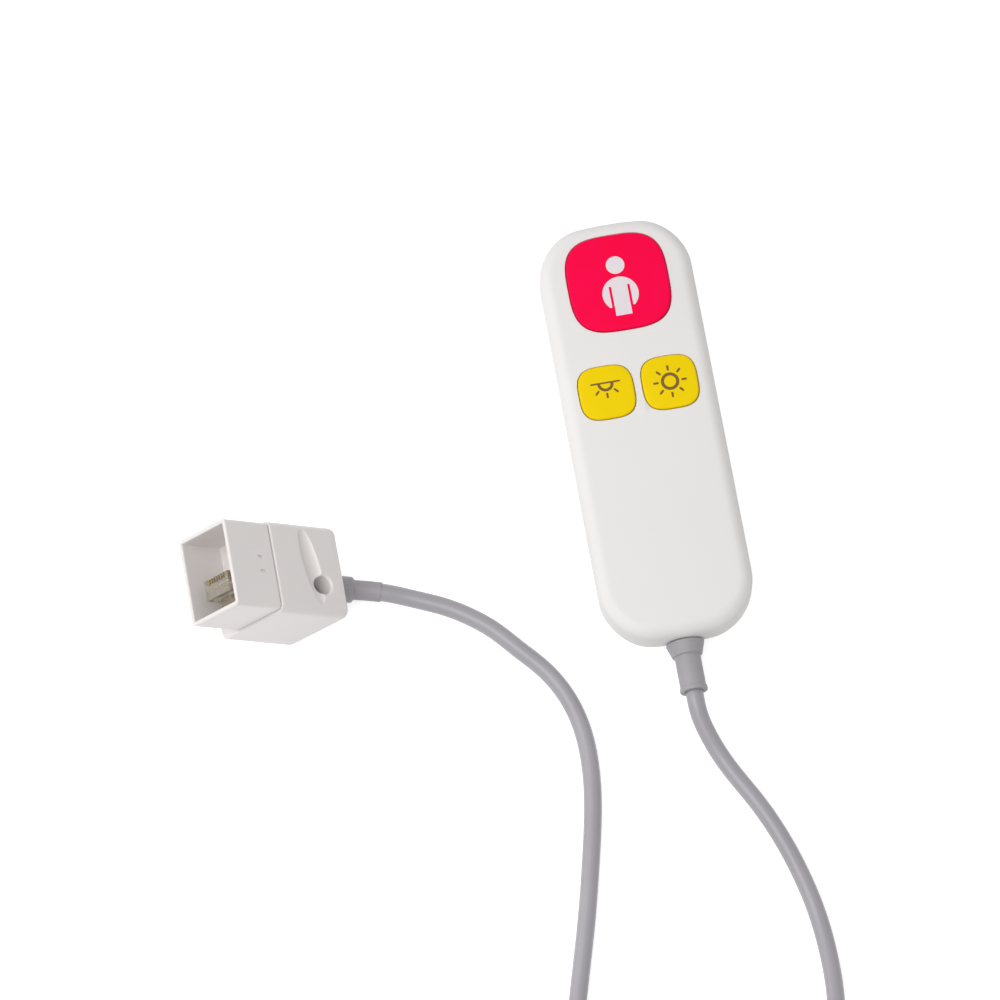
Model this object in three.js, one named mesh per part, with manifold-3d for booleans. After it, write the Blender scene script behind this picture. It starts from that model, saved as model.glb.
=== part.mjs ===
// Nurse call unit: a bedside handset with one large call key and two light keys,
// a grey lead, and a square wall plug whose hood is open at the front.
// Millimetres, +Z up. The handset lies on its back with its cord end towards -Y.

import * as THREE from 'three';
import { mergeVertices } from 'three/addons/utils/BufferGeometryUtils.js';
import Module from 'manifold-3d';

const wasm = await Module();
wasm.setup();

// Clearances
const seatGap = 0.3;
const keyGap = 0.4;
const cutMargin = 1;

// Handset shells
const handsetLength = 148;
const handsetWidth = 52;
const frontHeight = 11.6;
const rearHeight = 10;
const partingGap = 0.4;
const shellWall = 2.2;
const cornerRadius = 15.5;
const endBow = 3;
const frontEdgeRadius = 4.5;
const rearEdgeRadius = 4.5;
const rearInset = 0.6;
const lipWall = 1.1;
const lipHeight = 1.6;
const cornerSteps = 7;
const bowSteps = 4;
const edgeSteps = 4;

// Keys
const keyTravel = 0.8;
const keyRise = 0.7;
const keyEdgeRadius = 0.9;
const keyEdgeSteps = 2;
const keyPower = 4.2;
const keyOutlineSteps = 44;
const keyFlangeReach = 1.2;
const keyFlangeThickness = 1.5;
const plungerRadius = 2.2;
const callKeySize = 34;
const callKeyFromHead = 22.5;
const lightKeySize = 18.6;
const lightKeyFromHead = 60.5;
const lightKeyFromAxis = 10.8;
const roundSteps = 20;

// Circuit board and switches
const boardThickness = 1.6;
const boardHalfWidth = 15;
const boardUnderside = 7;
const boardEndMargin = 9;
const boardTailFromMiddle = 34;
const switchBodySize = 6;
const switchBodyHeight = 3.2;
const actuatorRadius = 1.7;
const actuatorHeight = 0.6;
const pegRadius = 2;
const pegInset = 4;
const terminalWidth = 14;
const terminalDepth = 7;
const terminalHeight = 6;
const terminalInset = 2;
const terminalWays = 4;
const terminalHoleRadius = 1;
const terminalHoleSteps = 10;
const plungerGap = 0.2;

// Case screws
const postRadius = 3;
const screwShankRadius = 1.25;
const screwShankSteps = 12;
const screwHeadRadius = 2.5;
const screwHeadHeight = 1.6;
const screwBite = 5;
const screwRecess = 2.4;
const upperPostX = 19.4;
const upperPostFromHead = 45.6;
const lowerPostX = 15;
const lowerPostFromFoot = 24;
const driveSlotWidth = 0.8;
const driveSlotDepth = 0.7;

// Cord and its strain relief in the handset
const cordDiameter = 6;
const cordSides = 10;
const plugSideSteps = 44;
const handsetSideSteps = 34;
const cordAxisHeight = rearHeight + partingGap / 2;
const reliefNeckRadius = 4.9;
const reliefFlangeRadius = 6.6;
const reliefFlangeThickness = 1.6;
const reliefCollarRadius = 6.6;
const reliefCollarTipRadius = 5.1;
const reliefCollarLength = 4.6;
const reliefSleeveRadius = 4.4;
const reliefSleeveLength = 11;
const reliefLipRadius = 4.7;
const reliefLipLength = 1.5;
const reliefTailLength = 15;
const clampWidth = 16;
const clampDepth = 5;
const clampHeight = 2.4;
const clampLegFromAxis = 6.2;
const clampFromFlange = 5;

// Plug
const plugTilt = THREE.MathUtils.degToRad(42);
const plugBackX = -119;
const plugBackY = -33.6;
const plugBodyLength = 30;
const plugBodyHalf = 16;
const plugEdgeRadius = 2.4;
const plugCornerRadius = 3;
const plugCornerSteps = 3;
const plugEdgeSteps = 2;
const hoodLength = 19;
const hoodNearInset = 0.5;
const hoodFarInset = 7.5;
const hoodTopInset = 0.9;
const hoodWall = 1.5;
const hoodBackWall = 2;
const hoodCornerRadius = 1.6;
const hoodTickLength = 2.6;
const hoodTickWidth = 1;
const hoodTickDepth = 0.6;
const hoodTickSpacing = 5;
const hoodTickFromSeam = 4.4;
const carrierWidth = 12;
const carrierHeight = 9;
const carrierSetBack = 3;
const carrierBelowAxis = 5.5;
const carrierStepHeight = 2.2;
const carrierStepDepth = 6;
const carrierRibLength = 5;
const carrierRibGap = 1;
const contactCount = 8;
const contactPitch = 1.2;
const contactThickness = 0.4;
const contactLength = 5;
const contactHeight = 2.6;
const contactSlotDepth = 2;
const plugScrewFromBack = 10;
const plugScrewBelowAxis = 5.4;
const plugScrewHoleRadius = 3.3;
const plugScrewHoleDepth = 9;
const plugScrewHeadRadius = 2.7;
const plugScrewHeadHeight = 2;
const scoopRadius = 21;
const scoopDepth = 2.2;
const scoopFromBack = 12;
const scoopAboveAxis = 7;
const scoopHalfLength = 9;
const scoopTurn = THREE.MathUtils.degToRad(12);
const scoopSteps = 36;
const bootRadius = 5;
const bootTipRadius = 4.2;
const bootBend = 24;
const bootRun = 6;
const bootSwing = 0.33;
const bootBendSteps = 12;
const bootRings = 14;
const bootRidgeDepth = 0.35;
const bootSides = 14;

// Cord route: hand-chosen points of each free stretch, on the surface it lies on
const cordRadius = cordDiameter / 2;
const tieThickness = 1;
const coilAboveTie = 0.2;
const coilLift = tieThickness + coilAboveTie;
const plugSideRoute = [
  [-90, -39.5, 3.4], [-83.8, -42.1, 3], [-76, -45.8, 3], [-68.8, -50.4, 3], [-61.5, -56.6, 3],
  [-54.8, -64.3, 3], [-48.2, -72, 3], [-42.3, -82, 3], [-39, -93, 3], [-38.1, -106, 3],
  [-39.6, -121, 3], [-43.4, -139, 3], [-48.7, -160, 3], [-54.8, -181, 3], [-60.8, -202.2, 3.4],
];
const handsetSideRoute = [
  [0.3, -98.6, 9], [1.6, -104, 7.2], [4.2, -111, 5], [8.1, -119.1, 3.5], [13.2, -128.5, 3],
  [18.8, -141, 3], [23.6, -156, 3], [26.8, -172, 3], [27.8, -187, 3.9], [27, -202.4, 6.2],
  [24.4, -217.2, 8.8],
];

// Coil of the length that is put away
const coilCentreX = -26;
const coilCentreY = -254;
const coilTurnAngle = THREE.MathUtils.degToRad(-10);
const coilMidRadius = 34;
const coilPitch = 6.2;
const coilColumns = 4;
const coilRows = 2;
const coilSegments = 40;
const coilEntry = 16;
const tieAngles = [THREE.MathUtils.degToRad(60), THREE.MathUtils.degToRad(240)];
const tieWidth = 5;

const white = { color: 0xe9e7e4, roughness: 0.45, metalness: 0 };
const callRed = { color: 0xff0050, roughness: 0.4, metalness: 0 };
const lightYellow = { color: 0xf0d414, roughness: 0.4, metalness: 0 };
const cordGrey = { color: 0xa3a0a5, roughness: 0.5, metalness: 0 };
const clear = { color: 0xcfc8b8, roughness: 0.1, metalness: 0, transparent: true, opacity: 0.5 };
const gold = { color: 0xc9a648, roughness: 0.3, metalness: 1 };
const steel = { color: 0xa9abad, roughness: 0.35, metalness: 1 };
const boardGreen = { color: 0x2c6e49, roughness: 0.5, metalness: 0 };
const black = { color: 0x1c1c1e, roughness: 0.6, metalness: 0 };

// A closed geometry as a solid that can be joined and cut
function solid(geometry) {
  const bare = geometry.index ? geometry.toNonIndexed() : geometry.clone();
  bare.deleteAttribute('normal');
  bare.deleteAttribute('uv');
  const merged = mergeVertices(bare, 1e-4);
  return new wasm.Manifold(new wasm.Mesh({
    numProp: 3,
    vertProperties: new Float32Array(merged.attributes.position.array),
    triVerts: new Uint32Array(merged.index.array),
  }));
}

function geometryOf(body) {
  const mesh = body.getMesh();
  const geometry = new THREE.BufferGeometry();
  geometry.setAttribute('position', new THREE.BufferAttribute(new Float32Array(mesh.vertProperties), 3));
  geometry.setIndex(new THREE.BufferAttribute(new Uint32Array(mesh.triVerts), 1));
  geometry.computeVertexNormals();
  return geometry;
}

function named(name, shape, finish) {
  const geometry = shape.isBufferGeometry ? shape : geometryOf(shape);
  const mesh = new THREE.Mesh(geometry, new THREE.MeshStandardMaterial(finish));
  mesh.name = name;
  return mesh;
}

function box(x0, x1, y0, y1, z0, z1) {
  const geometry = new THREE.BoxGeometry(x1 - x0, y1 - y0, z1 - z0);
  geometry.translate((x0 + x1) / 2, (y0 + y1) / 2, (z0 + z1) / 2);
  return solid(geometry);
}

// Upright cylinder from z0 to z1
function post(x, y, z0, z1, radius, steps = roundSteps) {
  const geometry = new THREE.CylinderGeometry(radius, radius, z1 - z0, steps);
  geometry.rotateX(Math.PI / 2);
  geometry.translate(x, y, (z0 + z1) / 2);
  return solid(geometry);
}

// Rounded rectangle whose ends bow outwards: each point moves away from the middle
// the more, the nearer it is to the long axis
function bowedOutline(inset) {
  const a = handsetWidth / 2 - inset;
  const b = handsetLength / 2 - endBow - inset;
  const radius = Math.max(cornerRadius - inset, 1);
  const points = [];
  const corners = [[1, -1, -Math.PI / 2], [1, 1, 0], [-1, 1, Math.PI / 2], [-1, -1, Math.PI]];
  for (const [sideX, sideY, start] of corners) {
    for (let i = 0; i <= cornerSteps; i += 1) {
      const angle = start + (i / cornerSteps) * Math.PI / 2;
      points.push([sideX * (a - radius) + radius * Math.cos(angle),
        sideY * (b - radius) + radius * Math.sin(angle)]);
    }
    if (sideX === sideY) {
      for (let i = 1; i < bowSteps; i += 1) {
        points.push([sideX * (a - radius) * (1 - 2 * i / bowSteps), sideY * b]);
      }
    }
  }
  const bowed = points.map(([x, y]) => new THREE.Vector2(x, y * (1 + endBow * (1 - (x / a) ** 2) / b)));
  return new THREE.Shape(bowed);
}

// Superellipse outline of a key
function keyOutline(size) {
  const points = [];
  for (let i = 0; i < keyOutlineSteps; i += 1) {
    const angle = (i / keyOutlineSteps) * 2 * Math.PI;
    const c = Math.cos(angle);
    const s = Math.sin(angle);
    const reach = (size / 2) / (Math.abs(c) ** keyPower + Math.abs(s) ** keyPower) ** (1 / keyPower);
    points.push(new THREE.Vector2(reach * c, reach * s));
  }
  return new THREE.Shape(points);
}

function prism(shape, z0, z1) {
  const geometry = new THREE.ExtrudeGeometry(shape, { depth: z1 - z0, bevelEnabled: false });
  geometry.translate(0, 0, z0);
  return solid(geometry);
}

// Prism with its edges rounded at both ends
function softPrism(shape, z0, z1, radius, steps) {
  const geometry = new THREE.ExtrudeGeometry(shape, {
    depth: z1 - z0 - 2 * radius,
    bevelEnabled: true,
    bevelThickness: radius,
    bevelSize: radius,
    bevelOffset: -radius,
    bevelSegments: steps,
  });
  geometry.translate(0, 0, z0 + radius);
  return solid(geometry);
}

// Revolved about Y, profile given as [radius, y]
function turnedAlongY(profile, x, z, steps = roundSteps) {
  const geometry = new THREE.LatheGeometry(profile.map(([r, y]) => new THREE.Vector2(r, y)), steps);
  geometry.translate(x, 0, z);
  return solid(geometry);
}

const handsetHeight = rearHeight + partingGap + frontHeight;
const frontBase = rearHeight + partingGap;
const headY = handsetLength / 2;
const footY = -handsetLength / 2;
const shellUnderside = handsetHeight - shellWall;
const boardTop = boardUnderside + boardThickness;
const switchBase = boardTop + seatGap;
const actuatorTop = switchBase + switchBodyHeight + actuatorHeight;
const plungerBottom = actuatorTop + keyTravel + plungerGap;
const flangeTop = shellUnderside - seatGap;
const boardHead = headY - boardEndMargin;

const keys = [
  { name: 'call_button', size: callKeySize, x: 0, y: headY - callKeyFromHead, finish: callRed },
  { name: 'reading_light_button', size: lightKeySize, x: -lightKeyFromAxis,
    y: headY - lightKeyFromHead, finish: lightYellow },
  { name: 'room_light_button', size: lightKeySize, x: lightKeyFromAxis,
    y: headY - lightKeyFromHead, finish: lightYellow },
];

const upperPostY = headY - upperPostFromHead;
const lowerPostY = footY + lowerPostFromFoot;
const casePosts = [
  [-upperPostX, upperPostY], [upperPostX, upperPostY], [-lowerPostX, lowerPostY], [lowerPostX, lowerPostY],
];

// Bore for the strain relief, shared by both shells: neck through the wall, then a pocket for its flange
function reliefBore() {
  const y0 = footY - cutMargin;
  const y1 = flangeInner - seatGap;
  const y2 = flangeInner + reliefFlangeThickness + seatGap;
  const neck = reliefNeckRadius + seatGap;
  const pocket = reliefFlangeRadius + seatGap;
  return turnedAlongY([[0, y0], [neck, y0], [neck, y1], [pocket, y1], [pocket, y2], [0, y2]],
    0, cordAxisHeight);
}

// Top cover: softly rounded tray with an opening for each key and posts for the case screws
function frontShell() {
  let body = softPrism(bowedOutline(0), frontBase - frontHeight, handsetHeight, frontEdgeRadius, edgeSteps);
  body = body.subtract(prism(bowedOutline(-cutMargin), -handsetHeight, frontBase));
  body = body.subtract(prism(bowedOutline(shellWall), frontBase - cutMargin, shellUnderside));
  for (const key of keys) {
    const opening = prism(keyOutline(key.size + 2 * keyGap), shellUnderside - cutMargin,
      handsetHeight + cutMargin);
    body = body.subtract(opening.translate([key.x, key.y, 0]));
  }
  for (const [x, y] of casePosts) {
    const shaft = post(x, y, frontBase, shellUnderside + cutMargin / 2, postRadius);
    const bore = post(x, y, frontBase - cutMargin, frontBase + screwBite + cutMargin,
      screwShankRadius + seatGap);
    body = body.add(shaft).subtract(bore);
  }
  return named('front_shell', body.subtract(reliefBore()), white);
}

// Base tray with a locating lip, board pegs, screw sleeves and the clamp pad
function rearShell() {
  let body = softPrism(bowedOutline(rearInset), 0, 2 * rearHeight, rearEdgeRadius, edgeSteps);
  body = body.subtract(prism(bowedOutline(-cutMargin), rearHeight, 3 * rearHeight));
  body = body.subtract(prism(bowedOutline(shellWall + rearInset), shellWall, rearHeight + cutMargin));
  const lipOuter = shellWall + seatGap;
  const lip = prism(bowedOutline(lipOuter), rearHeight - lipHeight, rearHeight + lipHeight)
    .subtract(prism(bowedOutline(lipOuter + lipWall), 0, 2 * rearHeight));
  body = body.add(lip);
  for (const x of [-1, 1]) {
    for (const y of [boardHead - pegInset, -boardTailFromMiddle + pegInset]) {
      const pegX = x * (boardHalfWidth - pegInset);
      body = body.add(post(pegX, y, shellWall / 2, boardUnderside - seatGap, pegRadius));
    }
  }
  for (const [x, y] of casePosts) {
    body = body.add(post(x, y, shellWall / 2, rearHeight, postRadius));
    body = body.subtract(post(x, y, -cutMargin, screwRecess, screwHeadRadius + seatGap));
    body = body.subtract(post(x, y, -cutMargin, rearHeight + cutMargin, screwShankRadius + seatGap));
  }
  const padTop = cordAxisHeight - cordRadius - seatGap;
  const pad = box(-clampWidth / 2, clampWidth / 2, clampY - clampDepth / 2, clampY + clampDepth / 2,
    shellWall / 2, padTop);
  return named('rear_shell', body.add(pad).subtract(reliefBore()), white);
}

// Key cap with a rounded top edge, a flange that stops it under the cover and a plunger
function keyCap(key) {
  const cap = softPrism(keyOutline(key.size), flangeTop - keyFlangeThickness, handsetHeight + keyRise,
    keyEdgeRadius, keyEdgeSteps);
  const flange = prism(keyOutline(key.size + 2 * keyFlangeReach), flangeTop - keyFlangeThickness, flangeTop);
  const plunger = post(0, 0, plungerBottom, flangeTop - keyFlangeThickness / 2, plungerRadius);
  return named(key.name, cap.add(flange).add(plunger).translate([key.x, key.y, 0]), key.finish);
}

function circuitBoard() {
  const board = box(-boardHalfWidth, boardHalfWidth, -boardTailFromMiddle, boardHead,
    boardUnderside, boardTop);
  return named('circuit_board', board, boardGreen);
}

function keySwitch(key) {
  const half = switchBodySize / 2;
  const top = switchBase + switchBodyHeight;
  const body = box(-half, half, -half, half, switchBase, top)
    .add(post(0, 0, top - cutMargin, actuatorTop, actuatorRadius));
  return named(key.name.replace('button', 'switch'), body.translate([key.x, key.y, 0]), black);
}

// Terminal block for the cord's wires, at the foot end of the board
function terminalBlock() {
  const y0 = -boardTailFromMiddle + terminalInset;
  let body = box(-terminalWidth / 2, terminalWidth / 2, y0, y0 + terminalDepth,
    switchBase, switchBase + terminalHeight);
  const pitch = terminalWidth / terminalWays;
  for (let i = 0; i < terminalWays; i += 1) {
    const x = -terminalWidth / 2 + (i + 0.5) * pitch;
    const hole = turnedAlongY([[0, y0 - cutMargin], [terminalHoleRadius, y0 - cutMargin],
      [terminalHoleRadius, y0 + terminalDepth / 2], [0, y0 + terminalDepth / 2]],
    x, switchBase + terminalHeight / 2, terminalHoleSteps);
    body = body.subtract(hole);
  }
  return named('terminal_block', body, boardGreen);
}

// Slotted pan-head screw pointing up, head towards -Z
function screwUp(headBottom, tip, headRadius, headHeight, shankRadius) {
  const head = post(0, 0, headBottom, headBottom + headHeight, headRadius);
  const shank = post(0, 0, headBottom + headHeight / 2, tip, shankRadius, screwShankSteps);
  const slot = box(-headRadius - cutMargin, headRadius + cutMargin, -driveSlotWidth / 2, driveSlotWidth / 2,
    headBottom - cutMargin, headBottom + driveSlotDepth);
  return head.add(shank).subtract(slot);
}

function caseScrews() {
  const headBottom = screwRecess - seatGap - screwHeadHeight;
  return casePosts.map(([x, y], i) => {
    const body = screwUp(headBottom, frontBase + screwBite, screwHeadRadius, screwHeadHeight,
      screwShankRadius);
    return named(`case_screw_${i + 1}`, body.translate([x, y, 0]), steel);
  });
}

// Grey moulding on the cord: inner flange and tail, neck through the wall, outer collar and sleeve
const flangeInner = footY + shellWall + seatGap;
const tailEnd = flangeInner + reliefFlangeThickness + reliefTailLength;
const collarStart = footY - seatGap;
const sleeveEnd = collarStart - reliefCollarLength - reliefSleeveLength - reliefLipLength;
const clampY = flangeInner + reliefFlangeThickness + clampFromFlange + clampDepth / 2;

function handsetRelief() {
  const collarTip = collarStart - reliefCollarLength;
  const profile = [
    [0, sleeveEnd], [reliefLipRadius, sleeveEnd], [reliefLipRadius, sleeveEnd + reliefLipLength],
    [reliefSleeveRadius, sleeveEnd + reliefLipLength], [reliefSleeveRadius, collarTip],
    [reliefCollarTipRadius, collarTip], [reliefCollarRadius, collarStart],
    [reliefNeckRadius, collarStart], [reliefNeckRadius, flangeInner],
    [reliefFlangeRadius, flangeInner], [reliefFlangeRadius, flangeInner + reliefFlangeThickness],
    [cordRadius, flangeInner + reliefFlangeThickness], [cordRadius, tailEnd], [0, tailEnd],
  ];
  return named('handset_strain_relief', turnedAlongY(profile, 0, cordAxisHeight), cordGrey);
}

// Bar over the cord's tail, with a leg down to the pad on each side of it
function cordClamp() {
  const z0 = cordAxisHeight + cordRadius + seatGap;
  let bar = box(-clampWidth / 2, clampWidth / 2, clampY - clampDepth / 2, clampY + clampDepth / 2,
    z0, z0 + clampHeight);
  const padTop = cordAxisHeight - cordRadius - seatGap;
  for (const side of [-1, 1]) {
    const x = side * clampLegFromAxis;
    const leg = box(x - clampDepth / 2, x + clampDepth / 2, clampY - clampDepth / 2, clampY + clampDepth / 2,
      padTop + seatGap, z0 + clampHeight / 2);
    bar = bar.add(leg);
  }
  return named('cord_clamp', bar, white);
}

// Rounded box along X: section from -half to +half in Y and Z, ends rounded too
function roundedBlock(x0, x1, y0, y1, z0, z1, corner, edge) {
  const w = (z1 - z0) / 2 - corner;
  const h = (y1 - y0) / 2 - corner;
  const points = [];
  const corners = [[1, -1], [1, 1], [-1, 1], [-1, -1]];
  corners.forEach(([sideW, sideH], quarter) => {
    for (let i = 0; i <= plugCornerSteps; i += 1) {
      const angle = (quarter - 1 + i / plugCornerSteps) * Math.PI / 2;
      points.push(new THREE.Vector2(sideW * w + corner * Math.cos(angle),
        sideH * h + corner * Math.sin(angle)));
    }
  });
  const shape = new THREE.Shape(points);
  const geometry = new THREE.ExtrudeGeometry(shape, {
    depth: x1 - x0 - 2 * edge,
    bevelEnabled: edge > 0,
    bevelThickness: edge,
    bevelSize: edge,
    bevelOffset: -edge,
    bevelSegments: plugEdgeSteps,
  });
  geometry.translate(0, 0, x0 + edge);
  geometry.rotateY(Math.PI / 2);
  geometry.translate(0, (y0 + y1) / 2, (z0 + z1) / 2);
  return solid(geometry);
}

// In the plug's own frame: X towards the cord from the back face, Y up its side, Z out of the screwed face
const seamX = -plugBodyLength;
const mouthX = seamX - seatGap - hoodLength;
const hoodY0 = -plugBodyHalf + hoodTopInset;
const hoodY1 = plugBodyHalf - hoodTopInset;
const hoodZ0 = -plugBodyHalf + hoodFarInset;
const hoodZ1 = plugBodyHalf - hoodNearInset;
const hoodZ = (hoodZ0 + hoodZ1) / 2;

// Closed housing of the plug: screw hole and finger scoop in its upper face
function plugBody() {
  const half = plugBodyHalf;
  let body = roundedBlock(seamX - plugEdgeRadius, 0, -half, half, -half, half,
    plugCornerRadius, plugEdgeRadius);
  body = body.subtract(box(seamX - 2 * half, seamX, -2 * half, 2 * half, -2 * half, 2 * half));
  body = body.subtract(post(-plugScrewFromBack, -plugScrewBelowAxis, half - plugScrewHoleDepth,
    half + cutMargin, plugScrewHoleRadius));
  const scoop = new THREE.CylinderGeometry(scoopRadius, scoopRadius, 2 * scoopHalfLength, scoopSteps);
  scoop.rotateZ(scoopTurn);
  scoop.translate(-scoopFromBack, scoopAboveAxis, half + scoopRadius - scoopDepth);
  return named('plug_body', body.subtract(solid(scoop)), white);
}

// Open-fronted hood with a back wall and two small marks pressed into its side
function plugHood() {
  let body = roundedBlock(mouthX, seamX - seatGap, hoodY0, hoodY1, hoodZ0, hoodZ1, hoodCornerRadius, 0);
  body = body.subtract(roundedBlock(mouthX - cutMargin, seamX - seatGap - hoodBackWall,
    hoodY0 + hoodWall, hoodY1 - hoodWall, hoodZ0 + hoodWall, hoodZ1 - hoodWall, hoodCornerRadius / 2, 0));
  for (const side of [-1, 1]) {
    const y = side * hoodTickSpacing / 2;
    body = body.subtract(box(seamX - hoodTickFromSeam - hoodTickLength, seamX - hoodTickFromSeam,
      y - hoodTickWidth / 2, y + hoodTickWidth / 2, hoodZ1 - hoodTickDepth, hoodZ1 + cutMargin));
  }
  return named('plug_hood', body, white);
}

const carrierX0 = mouthX + carrierSetBack;
const carrierX1 = seamX - 2 * seatGap - hoodBackWall;
const carrierY = -carrierBelowAxis;
const contactTop = carrierY + carrierHeight / 2;

// Clear block that holds the contacts: stepped nose and a slot for each contact
function contactCarrier() {
  const w = carrierWidth / 2;
  const h = carrierHeight / 2;
  let body = box(carrierX0, carrierX1, carrierY - h, carrierY + h, hoodZ - w, hoodZ + w);
  const ribX = carrierX0 + contactLength + carrierRibGap;
  body = body.subtract(box(ribX, ribX + carrierRibLength, carrierY + h - carrierStepHeight,
    carrierY + h + cutMargin, hoodZ - w - cutMargin, hoodZ + w + cutMargin));
  body = body.subtract(box(carrierX0 - cutMargin, carrierX0 + carrierStepDepth, carrierY - h - cutMargin,
    carrierY - h + carrierStepHeight, hoodZ - w - cutMargin, hoodZ + w + cutMargin));
  for (let i = 0; i < contactCount; i += 1) {
    const z = contactZ(i);
    const reach = contactThickness / 2 + seatGap / 2;
    body = body.subtract(box(carrierX0 - cutMargin, carrierX0 + contactLength, contactTop - contactHeight
      + contactSlotDepth / 2 - seatGap, contactTop + cutMargin, z - reach, z + reach));
  }
  return named('contact_carrier', body, clear);
}

function contactZ(i) {
  return hoodZ + (i - (contactCount - 1) / 2) * contactPitch;
}

// Thin gold blades, each standing in its slot
function contacts() {
  const meshes = [];
  for (let i = 0; i < contactCount; i += 1) {
    const z = contactZ(i);
    const blade = box(carrierX0 + seatGap, carrierX0 + contactLength - seatGap,
      contactTop - contactHeight + contactSlotDepth / 2, contactTop, z - contactThickness / 2,
      z + contactThickness / 2);
    meshes.push(named(`contact_${i + 1}`, blade, gold));
  }
  return meshes;
}

function plugScrew() {
  const bottom = plugBodyHalf - plugScrewHoleDepth + seatGap;
  const top = bottom + plugScrewHeadHeight;
  const slot = box(-plugScrewHeadRadius - cutMargin, plugScrewHeadRadius + cutMargin, -driveSlotWidth / 2,
    driveSlotWidth / 2, top - driveSlotDepth, top + cutMargin);
  const head = post(0, 0, bottom, top, plugScrewHeadRadius).subtract(slot);
  return named('plug_screw', head.translate([-plugScrewFromBack, -plugScrewBelowAxis, 0]), steel);
}

// Height of the plug's back centre, with its lower back edge resting on the surface
const plugBackZ = plugEdgeRadius + (plugBodyHalf - plugEdgeRadius) * Math.cos(plugTilt)
  - plugEdgeRadius * Math.sin(plugTilt);

// Bent path of the boot: out of the back face along the plug's axis, then level, swinging to the cord's side
function bootPath() {
  const start = new THREE.Vector3(seatGap * Math.cos(plugTilt), 0, -seatGap * Math.sin(plugTilt));
  const reach = start.x + bootBend * Math.sin(plugTilt) + bootRun;
  const places = [];
  for (let i = 0; i <= bootBendSteps; i += 1) {
    const angle = plugTilt * (1 - i / bootBendSteps);
    places.push([start.x + bootBend * (Math.sin(plugTilt) - Math.sin(angle)),
      start.z + bootBend * (Math.cos(plugTilt) - Math.cos(angle))]);
  }
  places.push([reach, places[bootBendSteps][1]]);
  return places.map(([x, z]) => new THREE.Vector3(plugBackX + x, plugBackY - bootSwing * x * x / (2 * reach),
    plugBackZ + z));
}

// Tube along a path whose radius runs evenly from the first to the last
function taperedTube(points, radius0, radius1, steps, sides) {
  const curve = new THREE.CatmullRomCurve3(points);
  const side = new THREE.Vector3(0, 1, 0);
  const positions = [];
  const indices = [];
  for (let i = 0; i <= steps; i += 1) {
    const at = curve.getPointAt(i / steps);
    const tangent = curve.getTangentAt(i / steps);
    const up = new THREE.Vector3().crossVectors(tangent, side).normalize();
    const across = new THREE.Vector3().crossVectors(up, tangent).normalize();
    const ridge = i % 2 === 1 && i < steps - 2 ? -bootRidgeDepth : 0;
    const radius = radius0 + (radius1 - radius0) * (i / steps) + ridge;
    for (let j = 0; j < sides; j += 1) {
      const angle = (j / sides) * 2 * Math.PI;
      const point = at.clone().addScaledVector(across, radius * Math.cos(angle))
        .addScaledVector(up, radius * Math.sin(angle));
      positions.push(point.x, point.y, point.z);
    }
  }
  const firstCentre = positions.length / 3;
  positions.push(...curve.getPointAt(0).toArray(), ...curve.getPointAt(1).toArray());
  for (let i = 0; i < steps; i += 1) {
    for (let j = 0; j < sides; j += 1) {
      const k = (j + 1) % sides;
      const [p, q, r, s] = [i * sides + j, i * sides + k, (i + 1) * sides + j, (i + 1) * sides + k];
      indices.push(p, q, s, p, s, r);
    }
  }
  for (let j = 0; j < sides; j += 1) {
    const k = (j + 1) % sides;
    indices.push(firstCentre, k, j);
    indices.push(firstCentre + 1, steps * sides + j, steps * sides + k);
  }
  const geometry = new THREE.BufferGeometry();
  geometry.setAttribute('position', new THREE.Float32BufferAttribute(positions, 3));
  geometry.setIndex(indices);
  geometry.computeVertexNormals();
  return geometry;
}

function plugBoot() {
  const boot = taperedTube(bootPath(), bootRadius, bootTipRadius, bootRings, bootSides);
  return named('plug_strain_relief', boot, cordGrey);
}

// Round tube along a route, kept clear of the pieces at both of its ends
function cordTube(name, points, steps) {
  const curve = new THREE.CatmullRomCurve3(points.map((p) => new THREE.Vector3(...p)));
  const corners = [];
  for (let i = 0; i < cordSides; i += 1) {
    const angle = (i / cordSides) * 2 * Math.PI;
    corners.push(new THREE.Vector2(cordRadius * Math.cos(angle), cordRadius * Math.sin(angle)));
  }
  const geometry = new THREE.ExtrudeGeometry(new THREE.Shape(corners), { steps, extrudePath: curve });
  const coilRoom = post(coilCentreX, coilCentreY, -cutMargin, coilTop + 2 * cordDiameter,
    coilOuter + seatGap, 2 * coilSegments);
  return named(name, solid(geometry).subtract(coilRoom), cordGrey);
}

// The plug's stretch: from its boot into the coil's lowest outer turn
function plugSideCord() {
  const path = bootPath();
  const tip = path[path.length - 1];
  const along = new THREE.Vector3().subVectors(tip, path[path.length - 2]).normalize();
  const start = tip.clone().addScaledVector(along, seatGap);
  const next = tip.clone().addScaledVector(along, cordRadius);
  const points = [start.toArray(), next.toArray(), ...plugSideRoute,
    coilPlace(-coilOuterTurn, coilLowTurnZ)];
  return cordTube('plug_side_cord', points, plugSideSteps);
}

// The handset's stretch: from its sleeve up onto the coil's highest outer turn
function handsetSideCord() {
  const start = sleeveEnd - seatGap;
  const points = [[0, start, cordAxisHeight], [0, start - cordRadius, cordAxisHeight], ...handsetSideRoute,
    coilPlace(coilOuterTurn, coilLowTurnZ + (coilRows - 1) * coilPitch)];
  return cordTube('handset_side_cord', points, handsetSideSteps);
}

const coilHalfWidth = coilColumns * coilPitch / 2;
const coilInner = coilMidRadius - coilHalfWidth;
const coilOuter = coilMidRadius + coilHalfWidth;
const coilTop = coilLift + coilRows * coilPitch;
const coilOuterTurn = coilOuter - coilPitch / 2;
const coilLowTurnZ = coilLift + cordRadius;

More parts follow.
